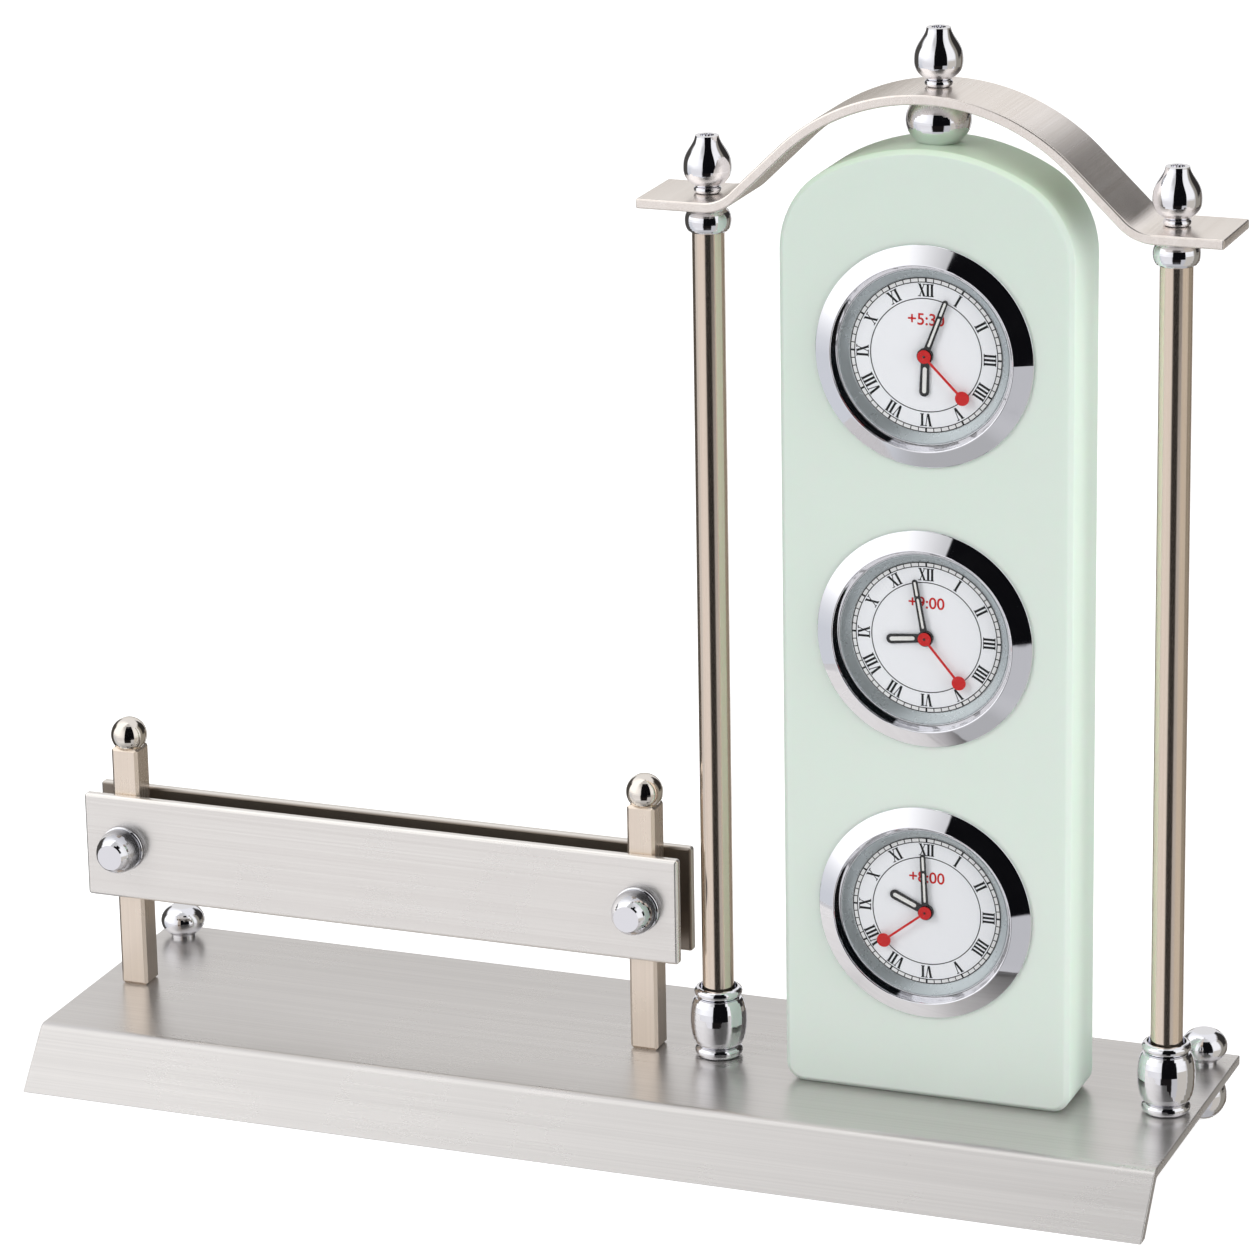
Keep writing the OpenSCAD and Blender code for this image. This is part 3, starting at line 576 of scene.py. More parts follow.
# %% Dress the CAD nodes
stand_finishes = (
    (sheet_steel, "base_plate"),
    (plate_steel, "front_nameplate"),
    (shaded_steel, "rear_nameplate"),
    (champagne_upright, "left_post right_post"),
    (champagne_round, "left_pillar right_pillar"),
    (champagne_strap, "arch_strap"),
    (warm_chrome, "post_balls"),
    (knob_chrome, "plate_knobs"),
    (chrome, "left_socket right_socket left_collar right_collar cap_balls ball_feet"),
    (chrome, "left_finial right_finial centre_finial arch_spacer"),
    (screw_steel, "plate_screws post_screws tie_screws centre_stud block_screws foot_studs"),
    (frosted, "glass_block"),
)
clock_finishes = (
    (chrome, "bezel"),
    (lens, "lens"),
    (dial_silver, "dial"),
    (can_metal, "case"),
    (grip_rubber, "grip_ring"),
    (ivory_plastic, "movement"),
    (cell_steel, "battery"),
    (knob_plastic, "set_knob"),
    (black_enamel, "hour_hand minute_hand"),
    (red_enamel, "second_hand"),
)
finishes = {node: finish for finish, nodes in stand_finishes for node in nodes.split()}
for clock in CLOCKS:
    for finish, parts in clock_finishes:
        for part in parts.split():
            finishes[clock + "_" + part] = finish
for node, cad_piece in frame["nodes"].items():
    cad_piece.data.materials.clear()
    cad_piece.data.materials.append(finishes[node])
print("Dressed nodes:", len(frame["nodes"]))

# %% [markdown]
# New pieces are made as plain meshes with their place in their points. Most of them on a dial
# are flat shapes, cut from an outline and given a hair of thickness, so one helper makes such
# a plate. Its outline is in the dial's own plane, X to the right and Z up, and it is placed
# by its front face. Round pieces are turned from a profile, as on a lathe.

# %% Helpers for new pieces
RING_STEPS = 180
LATHE_STEPS = 96


def plain_mesh(name, shape, material=None):
    """Mesh made of a bmesh, which is used up."""
    mesh = bpy.data.meshes.new(name)
    shape.to_mesh(mesh)
    shape.free()
    if material:
        mesh.materials.append(material)
    return mesh


def place_mesh(name, mesh, body):
    """Piece made of a mesh, which rides on a body."""
    piece = add_object(name, mesh)
    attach(piece, body)
    return piece


def finish_piece(name, shape, material, body):
    """Turns a bmesh into a piece, with its faces looking outwards."""
    bmesh.ops.recalc_face_normals(shape, faces=shape.faces)
    place_mesh(name, plain_mesh(name, shape, material), body)


def add_plate(shape, outline, front, thickness):
    """Adds a closed flat plate to a bmesh; outline is (x, z) points, front is its y."""
    front_ring = [shape.verts.new((x, front, z)) for x, z in outline]
    back_ring = [shape.verts.new((x, front + thickness, z)) for x, z in outline]
    shape.faces.new(front_ring)
    shape.faces.new(list(reversed(back_ring)))
    for index in range(len(outline)):
        after = (index + 1) % len(outline)
        shape.faces.new((front_ring[index], back_ring[index], back_ring[after], front_ring[after]))


def add_lathe(shape, hub, profile, steps=LATHE_STEPS):
    """Adds a closed profile of (radius, y) points turned about a hub's axis."""
    rings = []
    for radius, depth in profile:
        points = []
        for step in range(steps):
            angle = math.tau * step / steps
            place = (hub.x + radius * math.sin(angle), depth, hub.z + radius * math.cos(angle))
            points.append(shape.verts.new(place))
        rings.append(points)
    for index in range(len(rings)):
        first, second = rings[index], rings[(index + 1) % len(rings)]
        for step in range(steps):
            after = (step + 1) % steps
            shape.faces.new((first[step], first[after], second[after], second[step]))


def add_ring(shape, hub, inner, outer, front, thickness):
    """Adds a flat ring round a hub, with closed edges."""
    back_face = front + thickness
    profile = ((inner, front), (outer, front), (outer, back_face), (inner, back_face))
    add_lathe(shape, hub, profile, RING_STEPS)


# %% [markdown]
# Real sheet and bar never end in a perfect corner: the tool leaves a small round, and that
# round catches a thin line of light. A Bevel modifier straight on the CAD mesh smears the
# light, because that mesh is loose triangles. So the sheets, the strap and the block are
# copied, their triangles are merged back into whole faces, and only the sharp edges are
# rounded. Weighted normals then keep the large faces flat up to the round.

# %% Round the edges of sheets, strap and block
MERGE_DISTANCE = 0.0005 * MM
FLAT_ANGLE = math.radians(0.5)
SHARP_ANGLE = math.radians(35)


def is_sharp(edge):
    return edge.is_manifold and edge.calc_face_angle() > SHARP_ANGLE


def rounded_copy(node, width):
    """Piece that stands for a CAD node, with its sharp edges rounded."""
    shape = bmesh.new()
    shape.from_mesh(frame["nodes"][node].data)
    bmesh.ops.remove_doubles(shape, verts=shape.verts, dist=MERGE_DISTANCE)
    bmesh.ops.dissolve_limit(
        shape, angle_limit=FLAT_ANGLE, verts=shape.verts, edges=shape.edges)
    sharp = [edge for edge in shape.edges if is_sharp(edge)]
    bmesh.ops.bevel(
        shape, geom=sharp, offset=width, offset_type="OFFSET", segments=2, profile=0.5,
        affect="EDGES", clamp_overlap=False)
    for face in shape.faces:
        face.smooth = True
    mesh = plain_mesh(node + "_rounded", shape, finishes[node])
    piece = place_mesh(node + "_rounded", mesh, "stand")
    piece.modifiers.new("Even", "WEIGHTED_NORMAL").weight = 100
    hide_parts(node)
    return len(sharp)


for node, width, slot_name in (
        ("base_plate", 0.3 * MM, "brushed_sheet"),
        ("front_nameplate", 0.25 * MM, "brushed_sheet"),
        ("rear_nameplate", 0.25 * MM, "brushed_sheet"),
        ("arch_strap", 0.45 * MM, "satin_champagne"),
        ("glass_block", 0.3 * MM, "frosted_glass")):
    print(node, "edges rounded:", rounded_copy(node, width))

# %% [markdown]
# The minute track is a white band between two thin circles, crossed by sixty ticks, of which
# every fifth is bolder. Sixty equal things round a hub are work for Geometry Nodes: points on
# a circle, a small bar on each, turned to face the hub. The tree has named inputs for its
# sizes, so the same tree serves all three dials. Points are placed by their index, which also
# says where the bold ticks go.

# %% A node tree for the ticks
TICKS = 60
TICK_WIDTH = 0.2 * MM
BOLD_TICK_WIDTH = 0.42 * MM
TRACK_INNER = 16.35 * MM
TRACK_OUTER = 17.3 * MM


def ring_of_points(tree, given):
    """Points clockwise from twelve round a centre in the X-Z plane: index, points, turns."""
    index = tree.nodes.new("GeometryNodeInputIndex").outputs[0]
    share = math_node(tree, "DIVIDE", index, given["Count"])
    angle = math_node(tree, "MULTIPLY", share, math.tau)
    spot = tree.nodes.new("ShaderNodeCombineXYZ")
    for operation, axis in (("SINE", "X"), ("COSINE", "Z")):
        unit = math_node(tree, operation, angle)
        tree.links.new(math_node(tree, "MULTIPLY", unit, given["Radius"]), spot.inputs[axis])
    shift = tree.nodes.new("ShaderNodeVectorMath")
    tree.links.new(spot.outputs[0], shift.inputs[0])
    tree.links.new(given["Centre"], shift.inputs[1])
    points = tree.nodes.new("GeometryNodePoints")
    tree.links.new(given["Count"], points.inputs["Count"])
    tree.links.new(shift.outputs[0], points.inputs["Position"])
    turn = tree.nodes.new("ShaderNodeCombineXYZ")
    tree.links.new(angle, turn.inputs["Y"])
    return index, points.outputs[0], turn.outputs[0]


def stamp(tree, given, result, sockets):
    """Puts instances on points, paints them with the ink and hands them out."""
    place = tree.nodes.new("GeometryNodeInstanceOnPoints")
    for name, value in sockets.items():
        wire(tree, place.inputs[name], value)
    real = tree.nodes.new("GeometryNodeRealizeInstances")
    tree.links.new(place.outputs[0], real.inputs[0])
    paint = tree.nodes.new("GeometryNodeSetMaterial")
    tree.links.new(real.outputs[0], paint.inputs["Geometry"])
    tree.links.new(given["Ink"], paint.inputs["Material"])
    tree.links.new(paint.outputs[0], result["Geometry"])


def build_tick_tree():
    inputs = {
        "Count": "Int", "Bold Every": "Int", "Radius": "Float", "Length": "Float", "Width": "Float",
        "Bold Width": "Float", "Thickness": "Float", "Centre": "Vector", "Ink": "Material",
    }
    tree, given, result = start_tree(
        "GeometryNodeTree", "Dial ticks", inputs, {"Geometry": "Geometry"})
    index, points, turn = ring_of_points(tree, given)
    left_over = math_node(tree, "MODULO", index, given["Bold Every"])
    bold = math_node(tree, "LESS_THAN", left_over, 0.5)
    extra = math_node(tree, "SUBTRACT", given["Bold Width"], given["Width"])
    width = math_node(tree, "MULTIPLY_ADD", bold, extra, given["Width"])
    size = tree.nodes.new("ShaderNodeCombineXYZ")
    for value, axis in ((width, "X"), (given["Thickness"], "Y"), (given["Length"], "Z")):
        tree.links.new(value, size.inputs[axis])
    tick = tree.nodes.new("GeometryNodeMeshCube").outputs["Mesh"]
    stamp(tree, given, result, {
        "Points": points, "Instance": tick, "Rotation": turn, "Scale": size.outputs[0]})
    return tree


def grow(name, tree, values):
    """Runs a geometry tree with these inputs and returns its result as a plain mesh."""
    holder = add_object(name + "_maker", bpy.data.meshes.new(name + "_maker"))
    modifier = holder.modifiers.new("Maker", "NODES")
    modifier.node_group = tree
    for item in tree.interface.items_tree:
        if item.in_out == "INPUT" and item.name in values:
            modifier[item.identifier] = values[item.name]
    depsgraph = bpy.context.evaluated_depsgraph_get()
    mesh = bpy.data.meshes.new_from_object(holder.evaluated_get(depsgraph))
    mesh.name = name
    holder.modifiers.remove(modifier)
    bpy.data.objects.remove(holder)
    return mesh


tick_tree = build_tick_tree()
for clock in CLOCKS:
    hub = hubs[clock]
    ticks = grow(clock + "_ticks", tick_tree, {
        "Count": TICKS,
        "Bold Every": TICKS // 12,
        "Radius": (TRACK_INNER + TRACK_OUTER) / 2,
        "Length": TRACK_OUTER - TRACK_INNER,
        "Width": TICK_WIDTH,
        "Bold Width": BOLD_TICK_WIDTH,
        "Thickness": INK_THICKNESS,
        "Centre": (hub.x, dial_faces[clock] - 1.5 * INK_THICKNESS, hub.z),
        "Ink": black_ink,
    })
    place_mesh(clock + "_ticks", ticks, clock + "_insert")
print("Ticks on a dial:", TICKS, "with", len(ticks.polygons), "faces")

# %% [markdown]
# The track's band and circles are flat rings, and a third circle runs inside the numerals. The
# band lies lowest, the ticks stand out a hair further and the circles further still, so no
# two faces share a plane.

# %% Rings of the track
LINE_WIDTH = 0.2 * MM
LINE_DEPTH = 2.4 * INK_THICKNESS
INNER_CIRCLE = 12.7 * MM
for clock in CLOCKS:
    hub = hubs[clock]
    face = dial_faces[clock]
    band = bmesh.new()
    add_ring(band, hub, TRACK_INNER, TRACK_OUTER, face - INK_THICKNESS, INK_THICKNESS)
    finish_piece(clock + "_track_band", band, white_ink, clock + "_insert")
    circles = bmesh.new()
    for radius in (TRACK_INNER, TRACK_OUTER, INNER_CIRCLE):
        inner, outer = radius - LINE_WIDTH / 2, radius + LINE_WIDTH / 2
        add_ring(circles, hub, inner, outer, face - LINE_DEPTH, LINE_DEPTH)
    finish_piece(clock + "_track_circles", circles, black_ink, clock + "_insert")
print("Track from", round(TRACK_INNER / MM, 1), "to", round(TRACK_OUTER / MM, 1), "mm")

# %% [markdown]
# Roman numerals stand round the dial with their feet towards the hub, and four is written
# IIII, as clockmakers do. Each letter is a few strokes: I is one thick bar, V a thick and a
# thin slanted bar, X the same two crossed, and thin serifs close them off. A font would give
# the letters of a book, not these narrow ones, so the strokes are cut here. The same point
# ring as for the ticks then sets one numeral on every hour.

# %% Letters for the numerals
NUMERALS = ("XII", "I", "II", "III", "IIII", "V", "VI", "VII", "VIII", "IX", "X", "XI")
NUMERAL_RADIUS = 14.55 * MM
HALF_HEIGHT = 1.425 * MM
THICK = 0.52 * MM
THIN = 0.19 * MM
REACH = 0.55 * MM
THIN_SHIFT = 0.12 * MM
SERIF_HEIGHT = 0.2 * MM
I_SERIF = 0.42 * MM
V_SERIFS = (0.38 * MM, 0.3 * MM)
X_SERIF = 0.36 * MM
ADVANCE = {"I": 0.93 * MM, "V": 1.8 * MM, "X": 1.8 * MM}


def bar(foot, head, half_foot, half_head, low, high):
    """Outline of a bar with a middle and a half width at its foot and at its head."""
    return [(foot - half_foot, low), (foot + half_foot, low),
            (head + half_head, high), (head - half_head, high)]


def stroke(foot, head, width):
    """Outline of a stroke from the foot line to the head line."""
    return bar(foot, head, width / 2, width / 2, -HALF_HEIGHT, HALF_HEIGHT)


def serif(x, half_width, at_head):
    """Outline of a serif at the head or the foot."""
    low = HALF_HEIGHT - SERIF_HEIGHT if at_head else -HALF_HEIGHT
    high = HALF_HEIGHT if at_head else SERIF_HEIGHT - HALF_HEIGHT
    return bar(x, x, half_width, half_width, low, high)


def letter(kind, x):
    """Strokes and serifs of one letter centred on x."""
    left, right = x - REACH, x + REACH
    if kind == "I":
        return [stroke(x, x, THICK)], [serif(x, I_SERIF, True), serif(x, I_SERIF, False)]
    if kind == "V":
        strokes = [stroke(x, left, THICK), stroke(x + THIN_SHIFT, right, THIN)]
        return strokes, [serif(left, V_SERIFS[0], True), serif(right, V_SERIFS[1], True)]
    ends = [serif(side, X_SERIF, at_head) for side in (left, right) for at_head in (True, False)]
    return [stroke(right, left, THICK), stroke(left, right, THIN)], ends


def numeral_mesh(text):
    """Flat mesh of a numeral, centred on the origin and facing -Y."""
    shape = bmesh.new()
    x = -sum(ADVANCE[kind] for kind in text) / 2
    for kind in text:
        strokes, ends = letter(kind, x + ADVANCE[kind] / 2)
        for place, outline in enumerate(strokes):
            add_plate(shape, outline, -INK_THICKNESS * (1 + 0.2 * place), INK_THICKNESS)
        for outline in ends:
            add_plate(shape, outline, -INK_THICKNESS * 0.8, INK_THICKNESS * 0.8)
        x += ADVANCE[kind]
    bmesh.ops.recalc_face_normals(shape, faces=shape.faces)
    return plain_mesh("numeral", shape)


numeral_shelf = bpy.data.collections.new("numeral_shelf")
bpy.context.scene.collection.children.link(numeral_shelf)
for hour, text in enumerate(NUMERALS):
    numeral_shelf.objects.link(bpy.data.objects.new("numeral_%02d" % hour, numeral_mesh(text)))

# %% [markdown]
# The twelve numerals wait in a collection, in the order of their names. The tree picks one for
# each point by its index and turns it with the point. Afterwards the collection is emptied,
# so that only the finished rings stay.

# %% Set a numeral on every hour


def build_numeral_tree():
    inputs = {
        "Count": "Int", "Radius": "Float", "Centre": "Vector", "Letters": "Collection",
        "Ink": "Material",
    }
    tree, given, result = start_tree(
        "GeometryNodeTree", "Dial numerals", inputs, {"Geometry": "Geometry"})
    index, points, turn = ring_of_points(tree, given)
    letters = tree.nodes.new("GeometryNodeCollectionInfo")
    letters.inputs["Separate Children"].default_value = True
    letters.inputs["Reset Children"].default_value = True
    tree.links.new(given["Letters"], letters.inputs["Collection"])
    stamp(tree, given, result, {
        "Points": points, "Instance": letters.outputs[0], "Instance Index": index,
        "Pick Instance": True, "Rotation": turn})
    return tree


numeral_tree = build_numeral_tree()
for clock in CLOCKS:
    hub = hubs[clock]
    numerals = grow(clock + "_numerals", numeral_tree, {
        "Count": len(NUMERALS),
        "Radius": NUMERAL_RADIUS,
        "Centre": (hub.x, dial_faces[clock], hub.z),
        "Letters": numeral_shelf,
        "Ink": black_ink,
    })
    place_mesh(clock + "_numerals", numerals, clock + "_insert")
for spare in list(numeral_shelf.objects):
    bpy.data.objects.remove(spare)
bpy.data.collections.remove(numeral_shelf)
print("Faces in a ring of numerals:", len(numerals.polygons))

# %% [markdown]
# Below the twelve, a world clock says which zone it shows. These dials carry plain offsets
# from standard time. Blender's own font suits their simple sans figures, so each is a text
# object, made a mesh before its points are placed.

# %% Red offsets
OFFSETS = {"top": "+5:30", "middle": "+9:00", "bottom": "+8:00"}
OFFSET_HEIGHT = 3.7 * MM
OFFSET_WEIGHT = 0.05 * MM
OFFSET_RISE = 7.9 * MM


def offset_mesh(text):
    """Mesh of a line of figures in the X-Z plane, centred on the origin."""
    curve = bpy.data.curves.new("offset", "FONT")
    curve.body = text
    curve.size = OFFSET_HEIGHT
    curve.align_x = "CENTER"
    curve.align_y = "CENTER"
    curve.extrude = INK_THICKNESS / 2
    curve.offset = OFFSET_WEIGHT
    holder = add_object("offset", curve)
    depsgraph = bpy.context.evaluated_depsgraph_get()
    mesh = bpy.data.meshes.new_from_object(holder.evaluated_get(depsgraph))
    bpy.data.objects.remove(holder)
    mesh.transform(Matrix.Rotation(math.radians(90), 4, "X"))
    return mesh


for clock, text in OFFSETS.items():
    hub = hubs[clock]
    figures = offset_mesh(text)
    spot = (hub.x, dial_faces[clock] - INK_THICKNESS, hub.z + OFFSET_RISE)
    figures.transform(Matrix.Translation(spot))
    figures.materials.clear()
    figures.materials.append(red_ink)
    place_mesh(clock + "_offset", figures, clock + "_insert")
print("Offsets:", list(OFFSETS.values()))

# %% [markdown]
# A polished liner slopes from the dial up to the lens. The CAD dial has the slope, and a thin
# lathe-turned shell over it gives the bright metal that catches the window light.

# %% Liner between dial and lens
LINER_THICKNESS = 0.06 * MM
LINER_FOOT = 2.1 * MM
LINER_HEAD = 0.5 * MM
FOOT_LIP = 0.25 * MM
HEAD_LIP = 0.3 * MM
for clock in CLOCKS:
    face = dial_faces[clock]
    dial_low, dial_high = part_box(clock + "_dial")
    rim = dial_low[1]
    rim_radius = (dial_high[0] - dial_low[0]) / 2
    foot = rim_radius - LINER_FOOT
    head = rim_radius - LINER_HEAD
    liner = bmesh.new()
    add_lathe(liner, hubs[clock], [
        (foot - FOOT_LIP, face - LINER_THICKNESS),
        (foot, face - 2 * LINER_THICKNESS),
        (head - LINER_THICKNESS, rim - LINER_THICKNESS),
        (head + HEAD_LIP, rim - LINER_THICKNESS),
        (head + HEAD_LIP, rim),
        (head, rim),
        (foot, face),
        (foot - FOOT_LIP, face),
    ])
    for side in liner.faces:
        side.smooth = True
    finish_piece(clock + "_liner", liner, liner_metal, clock + "_insert")
print("Liner rises", round((face - rim) / MM, 2), "mm")

# %% [markdown]
# The black hands are slotted, the hour hand once and the minute hand twice, and pale inlays
# fill the slots. Which way a hand points is read from its own mesh: the point farthest from
# the hub is its tip. The inlays are drawn for a hand at twelve and turned to it, so they fit
# whatever time the CAD model shows.

# %% Pale inlays in the hands
HOUR_LENGTH = 9.2 * MM
HOUR_WIDTH = 2.25 * MM
MINUTE_LENGTH = 13.7 * MM
MINUTE_WIDTH = 1.3 * MM
SLOT_SHARE = 0.42
GAP_SHARE = 0.33
SPLIT_SHARE = 0.68
HUB_RADIUS = 1.8 * MM
INLAY_DEPTH = 0.03 * MM
INLAY_THICKNESS = 0.19 * MM
INLAY_GAP = 0.01 * MM


def pointing(node, hub):
    """Angle of a hand, clockwise from twelve."""
    places = [point.co - hub for point in frame["nodes"][node].data.vertices]
    tip = max(places, key=lambda place: math.hypot(place.x, place.z))
    return math.atan2(tip.x, tip.z)


def slot_outline(width, start, end, steps=10):
    """Outline of a round-ended slot along Z, as (x, z) points."""
    half = width / 2
    points = []
    for centre, first in ((end - half, 0), (start + half, math.pi)):
        for step in range(steps + 1):
            angle = first + math.pi * step / steps
            points.append((half * math.cos(angle), centre + half * math.sin(angle)))
    return points


def turned_outline(outline, hub, angle):
    """Turns an outline about a hub, clockwise."""
    cosine, sine = math.cos(angle), math.sin(angle)
    return [(hub.x + x * cosine + z * sine, hub.z - x * sine + z * cosine) for x, z in outline]


def inlay(clock, hand, slots):
    """Fills the slots of a hand, given as (width, start, end), and returns where it points."""
    node = clock + "_" + hand + "_hand"
    hub = hubs[clock]
    angle = pointing(node, hub)
    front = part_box(node)[0][1] + INLAY_DEPTH
    shape = bmesh.new()
    for width, start, end in slots:
        outline = slot_outline(width - 2 * INLAY_GAP, start + INLAY_GAP, end - INLAY_GAP)
        add_plate(shape, turned_outline(outline, hub, angle), front, INLAY_THICKNESS)
    finish_piece(clock + "_" + hand + "_inlay", shape, pale_inlay, clock + "_" + hand)
    return math.degrees(angle)


hour_slot = HOUR_WIDTH * SLOT_SHARE
hour_gap = HOUR_WIDTH * GAP_SHARE
minute_slot = MINUTE_WIDTH * SLOT_SHARE
minute_split = MINUTE_LENGTH * SPLIT_SHARE
for clock in CLOCKS:
    hour_angle = inlay(clock, "hour", [(hour_slot, HUB_RADIUS + hour_gap, HOUR_LENGTH - hour_gap)])
    minute_angle = inlay(clock, "minute", [
        (minute_slot, HUB_RADIUS + minute_slot, minute_split),
        (minute_slot, minute_split + minute_slot, MINUTE_LENGTH - minute_slot),
    ])
    print(clock, "shows", round(hour_angle), "and", round(minute_angle), "degrees")

# %% [markdown]
# On top of the seconds hand sits the end of its pivot, a dark pin with a bevelled shoulder. It
# is turned like everything on this axis.

# %% Pivot caps
CAP_STEPS = 32
CAP_PROFILE = ((0.02, -0.12), (0.2, -0.12), (0.28, -0.06), (0.3, 0), (0.3, 0.05), (0.02, 0.05))
for clock in CLOCKS:
    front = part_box(clock + "_second_hand")[0][1]
    cap = bmesh.new()
    profile = [(radius * MM, front + depth * MM) for radius, depth in CAP_PROFILE]
    add_lathe(cap, hubs[clock], profile, CAP_STEPS)
    finish_piece(clock + "_pivot_cap", cap, black_enamel, clock + "_second")
print("Pivot caps:", len(CLOCKS))

# %% [markdown]
# The stage is a white floor and a white room. The floor glows white for the camera and keeps a
# share of real diffuse light, so the clock's shadow stays on it. Mirrors don't see it. The
# room has to do two things at once. For diffuse light it is an even, modest white. In the
# chrome it is a photographer's studio: white walls, with a black screen round the camera and
# to its right, which draws the dark quarter on every bezel. The screens are zones of the
# world by direction, so nothing stands in the way of another view.

# %% Floor
FLOOR_RADIUS = 6
FLOOR_PAINT = (0.9, 0.9, 0.9, 1)
FLOOR_GLOW = 0.62
floor_material = bpy.data.materials.new("floor_white")
floor_material.use_nodes = True
floor_tree = floor_material.node_tree
floor_tree.nodes.clear()
paint = floor_tree.nodes.new("ShaderNodeBsdfDiffuse")
paint.inputs["Color"].default_value = FLOOR_PAINT
glow = floor_tree.nodes.new("ShaderNodeEmission")
glow.inputs["Strength"].default_value = FLOOR_GLOW
both = floor_tree.nodes.new("ShaderNodeAddShader")
floor_tree.links.new(paint.outputs[0], both.inputs[0])
floor_tree.links.new(glow.outputs[0], both.inputs[1])
seen = floor_tree.nodes.new("ShaderNodeLightPath").outputs["Is Camera Ray"]
surface = floor_tree.nodes.new("ShaderNodeOutputMaterial").inputs["Surface"]
floor_tree.links.new(mix_shaders(floor_tree, seen, paint.outputs[0], both.outputs[0]), surface)

floor_shape = bmesh.new()
bmesh.ops.create_circle(floor_shape, cap_ends=True, segments=64, radius=FLOOR_RADIUS)
floor = add_object("floor", plain_mesh("floor", floor_shape, floor_material))
floor.visible_glossy = False
print("Floor radius:", FLOOR_RADIUS, "m")

# %% [markdown]
# Directions in the room are counted in degrees at the clock. Azimuth 0 is straight in front of
# it, 90 to the right in the picture and 180 behind it, and elevation counts up from the
# horizon. A later screen covers an earlier one, and soft edges keep round metal from looking
# cut.

# %% Room
AMBIENT = 0.74
AMBIENT_GREY = (0.8, 0.8, 0.8, 1)
WHITE = (1, 1, 1, 1)
STUDIO_WALL = (0.93, 0.93, 0.95, 1)
SCREENS = (
    # name, azimuths, elevations, softness of both, linear colour
    ("floor", (-200, 200), (-95, -46), (5, 12), (0.48, 0.48, 0.49, 1)),
    ("upper front", (-40, 62), (34, 95), (20, 8), (0.62, 0.62, 0.62, 1)),
    ("window wall", (-110, -25), (-2, 95), (20, 8), (1.38, 1.38, 1.38, 1)),
    ("ceiling", (-31, 40), (47, 95), (9, 4), (0.62, 0.62, 0.62, 1)),
    ("floor at the left", (-100, -60), (-62, -8), (10, 8), (0.69, 0.71, 0.75, 1)),
    ("wall behind", (-180, -140), (8, 34), (5, 5), (0.84, 0.83, 0.82, 1)),
    ("floor in front", (-9, 80), (-52, -5), (4, 8), (0.57, 0.57, 0.59, 1)),
    ("dim corner", (104, 146), (-60, 44), (5, 4), (0.32, 0.3, 0.26, 1)),
    ("dark corner", (122, 172), (-5, 42), (4, 4), (0.035, 0.032, 0.03, 1)),
    ("foot of the dark corner", (144, 170), (-60, -3), (3, 3), (0.17, 0.145, 0.115, 1)),
    ("dark strip at the left", (-138, -90), (-60, 25), (3, 4), (0.08, 0.076, 0.07, 1)),
    ("floor behind", (-190, -150), (-60, 8), (4, 4), (0.3, 0.28, 0.25, 1)),
    ("floor at the right", (60, 104), (-60, -4), (4, 4), (0.62, 0.585, 0.53, 1)),
    ("bright wall at the right", (60, 100), (-4, 50), (3, 4), (1.05, 1.05, 1.05, 1)),
    ("horizon", (-64, -8), (-26, -9), (3, 3), (0.86, 0.85, 0.87, 1)),
    ("foot of the black screen", (-6, 37), (-40, -12), (2, 2), (0.012, 0.01, 0.01, 1)),
    ("black screen", (-3, 58), (-14.5, 62), (0.6, 0.6), (0.004, 0.004, 0.005, 1)),
)
world = bpy.data.worlds.new("studio")
bpy.context.scene.world = world
world.use_nodes = True
room = world.node_tree
room.nodes.clear()
toward = split(room, room.nodes.new("ShaderNodeTexCoord").outputs["Generated"])
forward = math_node(room, "MULTIPLY", toward["Y"], -1.0)
azimuth = math_node(room, "ARCTAN2", toward["X"], forward)
azimuth = math_node(room, "MULTIPLY", azimuth, 180 / math.pi)
elevation = math_node(room, "ARCSINE", toward["Z"])
elevation = math_node(room, "MULTIPLY", elevation, 180 / math.pi)


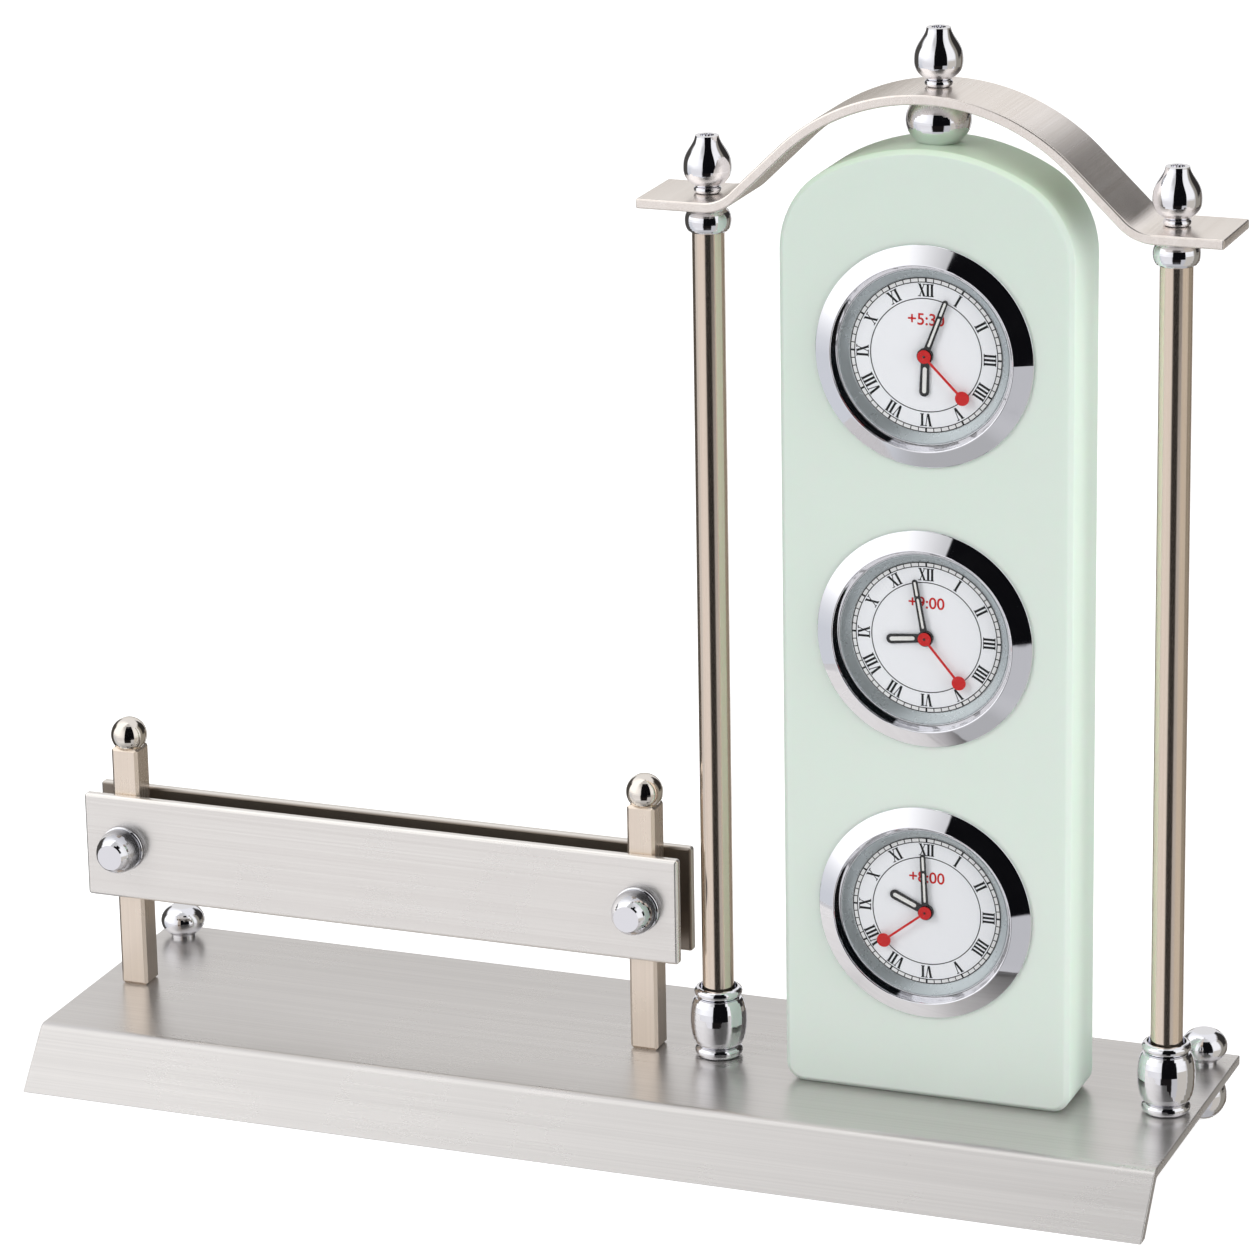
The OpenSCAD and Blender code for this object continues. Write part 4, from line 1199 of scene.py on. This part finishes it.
def span(value, limits, soft):
    """Mask that is one between two limits, in degrees, with soft ends."""
    low, high = limits
    rise = ramp_value(room, value, low - soft, low + soft, 0, 1)
    fall = ramp_value(room, value, high - soft, high + soft, 1, 0)
    return math_node(room, "MULTIPLY", rise, fall)


def background(colour, strength=1.0):
    """Shader of the room with this colour."""
    node = room.nodes.new("ShaderNodeBackground")
    wire(room, node.inputs["Color"], colour)
    wire(room, node.inputs["Strength"], strength)
    return node.outputs[0]


studio = STUDIO_WALL
for name, azimuths, elevations, softs, colour in SCREENS:
    across = span(azimuth, azimuths, softs[0])
    zone = math_node(room, "MULTIPLY", across, span(elevation, elevations, softs[1]))
    studio = blend_colours(room, zone, studio, colour)
rays = room.nodes.new("ShaderNodeLightPath").outputs
even = background(AMBIENT_GREY, AMBIENT)
lit = mix_shaders(room, rays["Is Glossy Ray"], even, background(studio))
shown = mix_shaders(room, rays["Is Camera Ray"], lit, background(WHITE))
room.links.new(shown, room.nodes.new("ShaderNodeOutputWorld").inputs["Surface"])
print("Screens in the room:", ", ".join(row[0] for row in SCREENS))

# %% [markdown]
# One large soft lamp stands to the left in front, above the clock, as a window would. It
# models the round bars and lays soft shadows to the right. A wider lamp on the right keeps
# the shaded sides open.

# %% Lamps
CLOCK_MIDDLE = Vector((0.0, 0.0, 0.12))


def lamp(name, place, size, power):
    """Square lamp that looks at the middle of the clock and stays out of its mirrors."""
    light = bpy.data.lights.new(name, "AREA")
    light.shape = "SQUARE"
    light.size = size
    light.energy = power
    holder = add_object(name, light)
    holder.location = place
    holder.rotation_euler = (CLOCK_MIDDLE - Vector(place)).to_track_quat("-Z", "Y").to_euler()
    holder.visible_glossy = False


lamp("window_lamp", (-0.75, -1.0, 0.95), size=0.7, power=7.5)
lamp("fill_lamp", (1.2, -0.35, 0.5), size=0.9, power=8.5)
bpy.context.scene.view_settings.view_transform = "Standard"
print("Lamps: 2")

# %% [markdown]
# Last, json is imported once more, and the script ends.

# %% Finish
import json
